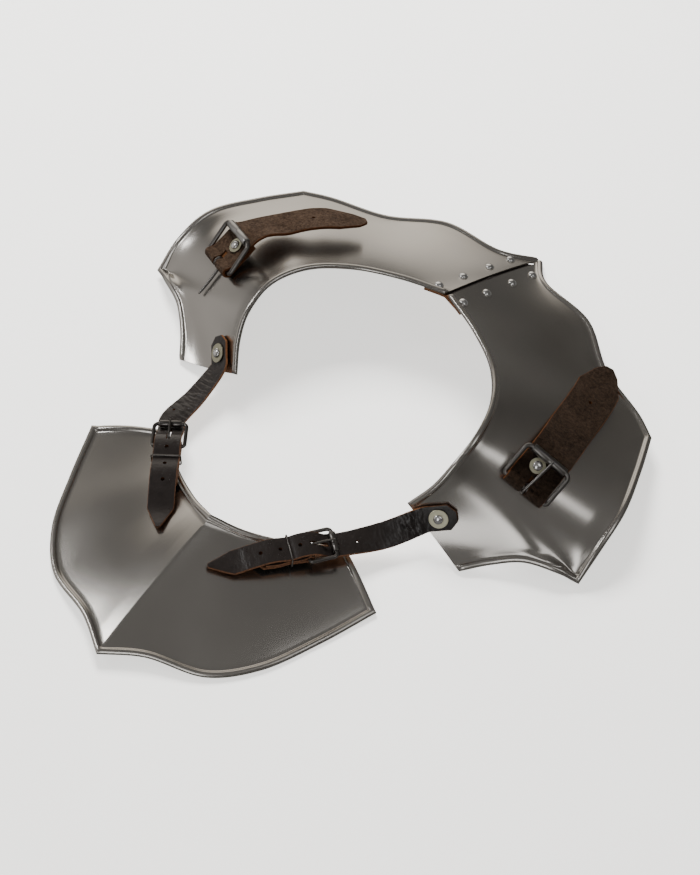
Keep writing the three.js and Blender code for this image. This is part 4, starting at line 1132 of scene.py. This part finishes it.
class GORGET_OT_hinge(bpy.types.Operator):
    """Leather under the middle seam"""
    bl_idname = "gorget.hinge"
    bl_label = "Leather hinge"

    def execute(self, context):
        sheets = {side: back_sheet(side) for side in SIDES.values()}
        shares = np.linspace(0, 1, HINGE_COLUMNS)
        places = [(-1, HINGE_SIDE_AT * share) for share in shares[::-1]]
        places += [(1, HINGE_SIDE_AT * share) for share in shares]

        def below(side, at, v, depth):
            """Point at a depth in the leather, below a place on a plate."""
            point, normal = sheets[side].spot(max(at, 0.001), v)
            return point - normal * (SHEET + HINGE_GAP + depth)

        rows = []
        for v in np.linspace(*HINGE_ENDS, HINGE_ROWS):
            top = [below(side, at, v, 0) for side, at in places]
            bottom = [below(side, at, v, HINGE_LEATHER) for side, at in places]
            middle = HINGE_COLUMNS - 1
            for layer in (top, bottom):
                layer[middle:middle + 2] = [(layer[middle] + layer[middle + 1]) / 2]
            rows.append(top + bottom[::-1])
        size = len(rows[0])
        vertices = np.concatenate(rows)
        hinge = make_object("hinge_leather_piece", vertices, skin(len(rows), size), [black_leather()])
        cut = [0.0 if 0 < i % size < size / 2 - 1 and 0 < i // size < HINGE_ROWS - 1 else 1.0
               for i in range(len(vertices))]
        marked(hinge, "cut", vertices, cut)
        settle(hinge, "collar", "black_leather", "hinge_leather")
        return {"FINISHED"}


# Strap ends: distance from the end, and share of the strap's width.
SUEDE_TIP = [(0, 0.2), (0.0008, 0.24), (0.007, 0.55), (0.025, 1)]
NECK_TIP = [(0, 0.18), (0.0006, 0.22), (0.016, 1)]
CHAMFER = [(0, 0.42), (0.0004, 0.47), (0.005, 1)]
# The prong's slit in the fold: its width, and how far it reaches past the bar.
SLIT_WIDTH = 0.0038
SLIT_OVER = 0.003
# Straight stretches of a shoulder strap, by their distances from the bar: below it, off the fold, and from
# there to past the roller.
UNDER_RUN = (0.025, 0.0035)
FOLD_RUN = (0.004, 0.012)
ROLLER_RUN = (0.0135, 0.003)
# The fold lies this much higher than the stretch behind it.
FOLD_LIFT = 0.0005
HOLE_RADIUS = 0.0013
# The hole's place in the free end, as a share of it.
TIP_HOLE = 0.62
# The free end's way over its plate: spans along the plate, share of the way across it, height over it.
SHOULDER_TAILS = {
    "left": [(1.168, 0.472, 0.005), (0.885, 0.317, 0.005), (0.665, -0.032, 0.006)],
    "right": [(1.278, 0.48, 0.009), (1.01, 0.51, 0.012), (0.737, 0.328, 0.010)],
}
# Each prong's lean back from the roller, in degrees, and its tip's place along the roller.
SHOULDER_PRONGS = {"left": (0, -0.0025), "right": (168, -0.003)}


def fold(seat, radius, start, end, steps=15):
    """Points round the bar for a leather layer's middle, in degrees from the roller's side."""
    return [seat.bar + seat.x * radius * math.cos(a) + seat.z * radius * math.sin(a)
            for a in np.radians(np.linspace(start, end, steps))]


def between(a, b, steps):
    """Points of a straight stretch."""
    return [a + (b - a) * share for share in np.linspace(0, 1, steps)]


class GORGET_OT_shoulder_straps(bpy.types.Operator):
    """Suede shoulder straps with their roller buckles"""
    bl_idname = "gorget.shoulder_straps"
    bl_label = "Shoulder straps"

    def execute(self, context):
        for word in SIDES:
            self.strap(word)
        return {"FINISHED"}

    def strap(self, word):
        """One side's strap and buckle. Heights are over the bar, in the buckle's axes."""
        prefix = f"{word}_shoulder"
        size = SHOULDER_BUCKLE
        seat = Seat(prefix, f"{prefix}_washer", size)
        bar_height = GAP + SUEDE + GAP + size["wire"]
        under = GAP + SUEDE / 2 - bar_height
        upper = under + SUEDE + GAP
        radius = size["wire"] + GAP + SUEDE / 2
        fold_end = seat.flat(FOLD_RUN[1], upper)
        layers = between(*(seat.flat(along, under) for along in UNDER_RUN), 14)
        layers += fold(seat, radius, 270, 90)
        layers += between(seat.flat(FOLD_RUN[0], upper + FOLD_LIFT), fold_end, 6)
        layers += between(seat.flat(ROLLER_RUN[0], upper), seat.flat(size["reach"] + ROLLER_RUN[1], upper),
                          10)
        sheet = back_sheet(SIDES[word])
        spots = [(sheet.spot(at, v), height) for at, v, height in SHOULDER_TAILS[word]]
        tail = Path([fold_end, layers[-1], *[p + n * h for (p, n), h in spots]])
        lean = Path([seat.z, seat.z * 1.001, *[n for (_, n), _ in spots]])
        joint = 1 / (len(spots) + 1)
        shares = np.linspace(joint, 1, 90)[1:]
        points = np.vstack([layers, tail.raw(shares)])
        ups = np.vstack([[seat.z] * len(layers), unit(lean.raw(shares))])
        walk = walked(points)
        halves = size["strap"] / 2 * taper(SUEDE_TIP, walk[-1] - walk)
        raw = raw_leather()
        strap = band_object(f"{prefix}_suede", points, ups, halves, SUEDE, [suede(word), raw], seat.y,
                            len(layers), self.ripple)
        hole_share = joint + (1 - joint) * TIP_HOLE
        hole, hole_up = tail.raw(hole_share)[0], unit(lean.raw(hole_share)[0])
        half_slit = SLIT_WIDTH / 2
        punched(strap, [
            round_punch(hole, hole_up, HOLE_RADIUS, 0.004, raw),
            box_punch(seat, (-0.012, -half_slit, -0.006), (SLIT_OVER, half_slit, 0.009), raw),
            box_punch(seat, (0, -half_slit, 0), (0.009, half_slit, 0.009), raw),
        ])
        settle(strap, "collar", "brown_suede", f"{prefix}_strap")
        metals = settings("gorget_metal")
        dark = wire_metal("Dark wire", metals.buckle, 0.3)
        # The right shoulder buckle's roller gets the lighter roller colour; the left one keeps the dark wire.
        roller_metal = wire_metal("Bare roller", metals.roller, 0.34) if word == "right" else dark
        for piece, obj in (("frame", frame_object(prefix, seat, dark)),
                           ("roller", roller_object(prefix, seat, roller_metal)),
                           ("prong", prong_object(prefix, seat, dark, *SHOULDER_PRONGS[word]))):
            settle(obj, f"{prefix}_{piece}", "buckle_metal", f"{prefix}_buckle_{piece}")

    @staticmethod
    def ripple(walk, place):
        """Faint unevenness of the nap."""
        return 0.00012 * noise.noise(Vector((walk * 120, place * 2.5, 3.3)))


# Back from a neck buckle's bar: the end of its own strap, the keeper, and the hidden rivet with its head.
OWN_END = 0.0355
KEEPER_BACK = 0.012
HIDDEN_BACK = 0.024
HIDDEN_HEAD = 0.0011
# From a neck strap's rivet: its end on the plate, and the place where it leaves the plate. Then its sag.
NECK_END = 0.012
NECK_LEAVE = 0.008
FREE_SAG = 0.004
# Where the free end lies on the front plate, and the strap's holes, from the bar towards the roller. Holes
# that have never been used are narrower.
NECK_RESTS = (-0.050, -0.0655)
NECK_HOLES = [-0.031, -0.018, 0.021, 0.034]
NEW_HOLE_RADIUS = 0.0009
NECK_PRONG_HOLE = -0.005
EYE_HALF = 0.0014
KEEPER_CORNER = 0.0012


class GORGET_OT_neck_straps(bpy.types.Operator):
    """Black neck straps with their buckles and keepers"""
    bl_idname = "gorget.neck_straps"
    bl_label = "Neck straps"

    def execute(self, context):
        for word in SIDES:
            self.strap(word)
        return {"FINISHED"}

    def strap(self, word):
        """One side's straps and buckle. Heights are over the bar, in the buckle's axes."""
        prefix = f"{word}_neck"
        size = NECK_BUCKLE
        seat = Seat(prefix, f"{prefix}_hidden_rivet", size)
        bottom = GAP + 2 * KEEPER_WIRE + GAP
        bar_height = bottom + NECK_LEATHER + GAP + size["wire"]
        under = bottom + NECK_LEATHER / 2 - bar_height
        upper = under + NECK_LEATHER + GAP
        low = GAP + NECK_LEATHER / 2 - bar_height
        radius = size["wire"] + GAP + NECK_LEATHER / 2
        black, raw = black_leather(), raw_leather()

        # The buckle's own strap: its lower layer, from its end to the fold, and its upper layer from the fold back.
        own = Path([seat.flat(-OWN_END, low), seat.flat(-HIDDEN_BACK + 0.004, low),
                    seat.flat(-KEEPER_BACK - 0.003, under), seat.flat(-0.006, under),
                    seat.flat(-0.003, under)])
        back = Path([seat.flat(-0.003, upper + 0.0002), seat.flat(-0.009, upper),
                     seat.flat(-KEEPER_BACK - 0.0024, upper),
                     seat.flat(-HIDDEN_BACK + 0.0046, low + NECK_LEATHER + GAP),
                     seat.flat(-HIDDEN_BACK - 0.005, low + NECK_LEATHER + GAP)])
        points = np.vstack([own.at(np.linspace(0, 1, 34)), fold(seat, radius, -90, 90, 13),
                            back.at(np.linspace(0.02, 1, 28))])
        halves = size["strap"] / 2 * taper(CHAMFER, walked(points))
        own_strap = band_object(f"{prefix}_buckle_leather", points, [seat.z] * len(points), halves,
                                NECK_LEATHER, [black, raw], seat.y, len(points), flip=True)
        half_slit = SLIT_WIDTH / 2
        punched(own_strap, [
            box_punch(seat, (-SLIT_OVER, -half_slit, -0.008), (0.012, half_slit, 0.012), raw),
            box_punch(seat, (-0.005, -half_slit, 0), (0, half_slit, 0.012), raw),
        ])
        settle(own_strap, "collar", "black_leather", f"{prefix}_buckle_strap")

        washer, pin_z = spin_axis(f"{prefix}_washer")
        pin_x = seat.bar - washer
        pin_x = unit(pin_x - pin_z * (pin_x @ pin_z))
        face = WASHER["thickness"] / 2 + GAP + NECK_LEATHER / 2

        def pinned(along):
            """Middle of the strap under its washer, by the distance from the rivet."""
            return washer + pin_x * along - pin_z * face

        hidden_top = low + 1.5 * NECK_LEATHER + GAP
        eye_top = size["wire"] + GAP + NECK_LEATHER
        keeper_top = upper + NECK_LEATHER / 2 + GAP + NECK_LEATHER
        under_roller = self.roller_gap(seat)
        # The neck strap's middle through the buckle: under the roller, over the bar, under the keeper and over
        # the hidden rivet's head.
        hardware = [
            (size["reach"] + 0.007, under_roller), (size["reach"], under_roller),
            (size["reach"] - 0.005, under_roller + 0.0009),
            (0.0055, eye_top + GAP + NECK_LEATHER / 2 - 0.0009), (0, eye_top + GAP + NECK_LEATHER / 2),
            (-0.006, eye_top + NECK_LEATHER / 2 - 0.0006), (-KEEPER_BACK, keeper_top - NECK_LEATHER / 2),
            (-HIDDEN_BACK, hidden_top + HIDDEN_HEAD + 3 * GAP + NECK_LEATHER / 2),
            (-OWN_END - 0.001, low + NECK_LEATHER + 3 * GAP),
        ]
        solid = solid_tree(f"{prefix}_strap")
        resting = [self.on_solid(solid, seat, along) for along in NECK_RESTS]
        leaving = pinned(NECK_LEAVE)
        first = seat.flat(*hardware[0])
        middle = (leaving + first) / 2 - vec(0, 0, FREE_SAG)
        controls = [pinned(a) for a in (-NECK_END, -0.005, 0, 0.005)]
        controls += [leaving, middle, *[seat.flat(a, h) for a, h in hardware], *resting]
        ups = [pin_z] * 5 + [(pin_z + seat.z) / 2] + [seat.z] * (len(hardware) + len(resting))
        path, lean = Path(controls), Path(ups + vec(0, 0, 1e-6) * np.arange(len(ups))[:, None])
        shares = np.interp(np.linspace(0, path.length, 300), path.lengths, path.shares)
        points = path.raw(shares)
        walk = np.linspace(0, path.length, len(shares))
        halves = size["strap"] / 2 * taper(CHAMFER, walk) * taper(NECK_TIP, path.length - walk)
        free_from = np.linalg.norm(controls[4] - controls[0])
        free_to = free_from + np.linalg.norm(first - leaving) + 0.004
        height = settings("gorget_leather").wrinkle

        def wrinkle(walked, place):
            """Cross wrinkles where the strap hangs free, and fainter ones elsewhere."""
            free = np.clip((walked - free_from) / 0.006, 0, 1) * np.clip((free_to - walked) / 0.01, 0, 1)
            bend = math.exp(-((walked - free_from - 0.012) / 0.014) ** 2)
            coarse = noise.noise(Vector((walked * 330, place * 1.1, 1.7)))
            fine = noise.noise(Vector((walked * 800, place * 2.3, 9.1)))
            crease = (1 - min(1, 2.4 * abs(noise.noise(Vector((walked * 420, place * 1.6, 4.4)))))) ** 2
            return height * ((0.18 + 0.5 * free + 0.5 * bend) * (coarse + 0.45 * fine)
                             - (0.12 + 0.5 * free + 0.8 * bend) * crease)

        long = band_object(f"{prefix}_leather", points, unit(lean.raw(shares)), halves, NECK_LEATHER,
                           [black, raw], wrinkle=wrinkle)
        holes = [round_punch(seat.flat(s, 0.003), seat.z, HOLE_RADIUS if s < 0 else NEW_HOLE_RADIUS, 0.014,
                             raw) for s in NECK_HOLES]
        holes.append(round_punch(seat.flat(NECK_PRONG_HOLE, 0.006), seat.z, HOLE_RADIUS, 0.006, raw))
        slot = box_punch(seat, (0.0015, -EYE_HALF, -0.002), (size["reach"] - 0.0035, EYE_HALF, 0.012), raw)
        punched(long, [*holes, slot])
        settle(long, "collar", "black_leather", f"{prefix}_strap")

        dark = wire_metal("Dark wire", settings("gorget_metal").buckle, 0.3)
        for piece, obj in (("buckle_frame", frame_object(prefix, seat, dark)),
                           ("buckle_roller", roller_object(prefix, seat, dark)),
                           ("buckle_prong", prong_object(prefix, seat, dark, 0, 0)),
                           ("keeper", self.keeper(prefix, seat, keeper_top, bar_height, dark))):
            settle(obj, "collar", "buckle_metal", f"{prefix}_{piece}")

    @staticmethod
    def roller_gap(seat):
        """Height over the bar of the strap's middle where it runs under the roller."""
        roller_height = (seat.roller - seat.bar) @ seat.z
        return roller_height - seat.size["roller"] - 2 * GAP - NECK_LEATHER / 2

    @staticmethod
    def on_solid(solid, seat, along):
        """Middle of the strap's solid at a distance from the bar."""
        above = Vector(seat.flat(along, 0.04))
        hit, _, _, _ = solid.ray_cast(above, Vector(-seat.z))
        if hit is None:
            raise ValueError("the strap's solid isn't under its own path")
        return np.array(hit) - seat.z * NECK_LEATHER / 2

    @staticmethod
    def keeper(prefix, seat, roof, bar_height, metal):
        """A thin wire loop round both straps, its corners rounded. roof is the upper strap's top."""
        reach = NECK_WIDTH / 2 + GAP + KEEPER_WIRE
        low, high = GAP + KEEPER_WIRE - bar_height, roof + 2 * GAP + KEEPER_WIRE
        loop = rounded_loop(low, high, reach, KEEPER_CORNER, KEEPER_CORNER, 6)
        points = [seat.flat(-KEEPER_BACK, height, across) for height, across in loop]
        return wire_loop(f"{prefix}_wire_keeper", points, KEEPER_WIRE, 12, metal)


# Radius and height of each kind of rivet's head.
RIVET_HEADS = {"seam": (0.0033, 0.0024), "strap": (0.0034, 0.0022), "hidden": (0.0030, HIDDEN_HEAD)}
HEAD_LIP = 0.0002
SHANK = 0.0015
BURR = {"radius": 0.0026, "height": 0.0009}


def rivet_shape(name, head, rise, length, metal):
    """A turned rivet whose head's underside is at height 0: dome, shank, and hammered burr at the far end."""
    dome = [(head * math.cos(a), GAP + HEAD_LIP + (rise - HEAD_LIP) * math.sin(a))
            for a in np.radians(np.linspace(0, 82, 9))]
    burr, top = BURR["radius"], BURR["height"] - length
    profile = [(0, -length), (burr * 0.6, -length), (burr, -length + BURR["height"] * 0.45),
               (burr * 0.92, top), (SHANK, top), (SHANK, GAP), (head * 0.96, GAP), *dome, (0, GAP + rise)]
    vertices, faces = lathe(profile, 28)
    return make_object(name, vertices, faces, [metal])


def kinds_of_rivet():
    """The CAD rivets by kind."""
    names = [n for n in sorted(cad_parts) if n.endswith("rivet") or "_rivet_" in n]
    seam = [n for n in names if "seam" in n]
    hidden = [n for n in names if "hidden" in n]
    return {"seam": seam, "hidden": hidden, "strap": [n for n in names if n not in seam and n not in hidden]}


class GORGET_OT_rivets(bpy.types.Operator):
    """Rivets and washers"""
    bl_idname = "gorget.rivets"
    bl_label = "Rivets and washers"

    def execute(self, context):
        metals = settings("gorget_metal")
        bright = wire_metal("Bright rivet", metals.rivet, 0.21)
        pale = wire_metal("Pale washer", metals.washer, 0.42)
        tree = node_group("Copies on points", copies_tree)
        for kind, nodes in kinds_of_rivet().items():
            head, rise = RIVET_HEADS[kind]
            for node in nodes:
                top, axis, length = self.measured(node)
                shape = rivet_shape("rivet_shape", head, rise, length - rise - GAP, bright)
                piece = grown(node.replace("_rivet", "_riveted"), [top - axis * (rise + GAP)], [], tree,
                              {"Shape": shape, "Finish": bright}, [axis])
                bpy.data.objects.remove(shape)
                settle(piece, "collar", "rivet_metal", node)
        for kind in ("neck", "shoulder"):
            nodes = [n for n in sorted(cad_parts) if n.endswith(f"{kind}_washer")]
            shape = self.washer_shape(kind, pale)
            spots = [spin_axis(node) for node in nodes]
            washers = grown(f"pale_{kind}_washers", [c for c, _ in spots], [], tree,
                            {"Shape": shape, "Finish": pale}, [a for _, a in spots])
            bpy.data.objects.remove(shape)
            settle(washers, "collar", "washer_metal", *nodes)
        return {"FINISHED"}

    @staticmethod
    def measured(node):
        """Top of a CAD rivet's head, its axis, and its whole length."""
        centre, axis = spin_axis(node)
        along = (points_of(node) - centre) @ axis
        return centre + axis * along.max(), axis, along.max() - along.min()

    @staticmethod
    def washer_shape(kind, metal):
        """A washer with bevelled edges."""
        outer, inner, half = WASHER[kind], SHANK + GAP, WASHER["thickness"] / 2
        bevel = half * 0.5
        profile = [(inner, -half), (outer - bevel, -half), (outer, -half + bevel), (outer, half - bevel),
                   (outer - bevel, half), (inner + bevel, half), (inner, half - bevel)]
        vertices, faces = lathe([*profile, profile[0]], 40)
        return make_object("washer_shape", vertices, faces, [metal])


# Camera, floor and lights

CAMERA = {"azimuth": 42.36, "elevation": 55.23, "distance": 1.8, "lens": 111.1}
CAMERA_TARGET = Vector((0.01173, 0.00675, 0.02044))


def direction(azimuth, elevation):
    """Direction from the object to a place round it."""
    a, e = math.radians(azimuth), math.radians(elevation)
    return Vector((math.sin(a) * math.cos(e), -math.cos(a) * math.cos(e), math.sin(e)))


def area_light(name, azimuth, elevation, distance, width, depth, power):
    """A soft light that faces the object."""
    light = bpy.data.lights.new(name, "AREA")
    light.shape = "RECTANGLE"
    light.size, light.size_y = width, depth
    light.energy = power
    obj = new_object(name, light)
    back = direction(azimuth, elevation)
    obj.location = back * distance
    obj.rotation_euler = back.to_track_quat("Z", "Y").to_euler()
    return obj


# The room's colours by height, and its paler walls: direction, the nearness at which one starts and is full.
ROOM = [(0.0, (0.14, 0.136, 0.13)), (0.3, (0.075, 0.071, 0.067)), (0.7, (0.12, 0.115, 0.11)),
        (1.0, (0.17, 0.165, 0.16))]
WALLS = [
    ((-0.75, 0.64, 0.22), 0.84, 0.98, (1.25, 1.17, 1.05)),
    ((-0.85, -0.50, 0.10), 0.70, 0.95, (0.38, 0.365, 0.35)),
]
# Half the floor's width, and its height.
FLOOR_HALF = 3.0
FLOOR_HEIGHT = -0.0002


def studio_world():
    """A plain dim room with a few paler walls, for the steel to mirror."""
    world = bpy.data.worlds.new("Studio room")
    world.use_nodes = True
    bpy.context.scene.world = world
    n = Nodes(world.node_tree)
    background = world.node_tree.nodes["Background"]
    where = n.add("ShaderNodeTexCoord").outputs["Generated"]
    height = n.add("ShaderNodeSeparateXYZ", {"Vector": where}).outputs["Z"]
    color = n.ramp(height, *ROOM)
    for toward, start, end, wall in WALLS:
        facing = n.add("ShaderNodeVectorMath", {0: where, 1: tuple(unit(toward))}, operation="DOT_PRODUCT")
        lit = n.ramp(facing.outputs["Value"], (start, (0, 0, 0)), (end, wall))
        color = n.mix(1.0, color, lit, "ADD")
    n.put(background.inputs["Color"], color)
    background.inputs["Strength"].default_value = 1.0


class GORGET_OT_stage(bpy.types.Operator):
    """Camera, paper floor, room and lights"""
    bl_idname = "gorget.stage"
    bl_label = "Stage"

    def execute(self, context):
        s = settings("gorget_stage")
        camera = bpy.data.cameras.new("Camera")
        camera.lens = CAMERA["lens"]
        obj = new_object("Camera", camera)
        back = direction(CAMERA["azimuth"], CAMERA["elevation"])
        obj.location = CAMERA_TARGET + back * CAMERA["distance"]
        obj.rotation_euler = (-back).to_track_quat("-Z", "Y").to_euler()
        context.scene.camera = obj

        h, z = FLOOR_HALF, FLOOR_HEIGHT
        floor = make_object("paper_floor", [(-h, -h, z), (h, -h, z), (h, h, z), (-h, h, z)], [(0, 1, 2, 3)],
                            [floor_material(s.paper, s.glow)])
        floor.visible_glossy = False
        studio_world()
        key = area_light("Key", -128, 51, 1.5, 0.55, 0.55, s.key)
        key.visible_glossy = False
        area_light("Tall box", 25, 28, 1.5, 0.42, 1.0, s.box)
        area_light("Strip", 97, 53, 1.6, 0.3, 1.0, s.band)
        area_light("Glints", -67, 43, 1.5, 0.3, 0.26, s.glints)
        return {"FINISHED"}


# Panel and registration

class GORGET_PT_panel(bpy.types.Panel):
    """Lists the gorget's pieces and their settings"""
    bl_label = "Gorget"
    bl_idname = "GORGET_PT_panel"
    bl_space_type = "VIEW_3D"
    bl_region_type = "UI"
    bl_category = "Gorget"

    def draw(self, context):
        for operator in OPERATORS:
            self.layout.operator(operator.bl_idname)
        for name, group in SETTINGS.items():
            box = self.layout.box()
            for prop in group.__annotations__:
                box.prop(getattr(context.scene, name), prop)


SETTINGS = {
    "gorget_plates": GorgetPlateSettings,
    "gorget_leather": GorgetLeatherSettings,
    "gorget_metal": GorgetMetalSettings,
    "gorget_stage": GorgetStageSettings,
}
OPERATORS = [GORGET_OT_plates, GORGET_OT_hinge, GORGET_OT_shoulder_straps, GORGET_OT_neck_straps,
             GORGET_OT_rivets, GORGET_OT_stage]


def register():
    """Adds the classes and their settings."""
    for cls in (*SETTINGS.values(), *OPERATORS, GORGET_PT_panel):
        bpy.utils.register_class(cls)
    for name, group in SETTINGS.items():
        setattr(bpy.types.Scene, name, bpy.props.PointerProperty(type=group))


def unregister():
    """Removes what register adds."""
    for name in SETTINGS:
        delattr(bpy.types.Scene, name)
    for cls in reversed((*SETTINGS.values(), *OPERATORS, GORGET_PT_panel)):
        bpy.utils.unregister_class(cls)


def main():
    """Makes the dressed gorget and its stage."""
    register()
    bpy.ops.gorget.plates()
    bpy.ops.gorget.hinge()
    bpy.ops.gorget.shoulder_straps()
    bpy.ops.gorget.neck_straps()
    bpy.ops.gorget.rivets()
    bpy.ops.gorget.stage()


if __name__ == "__main__":
    main()
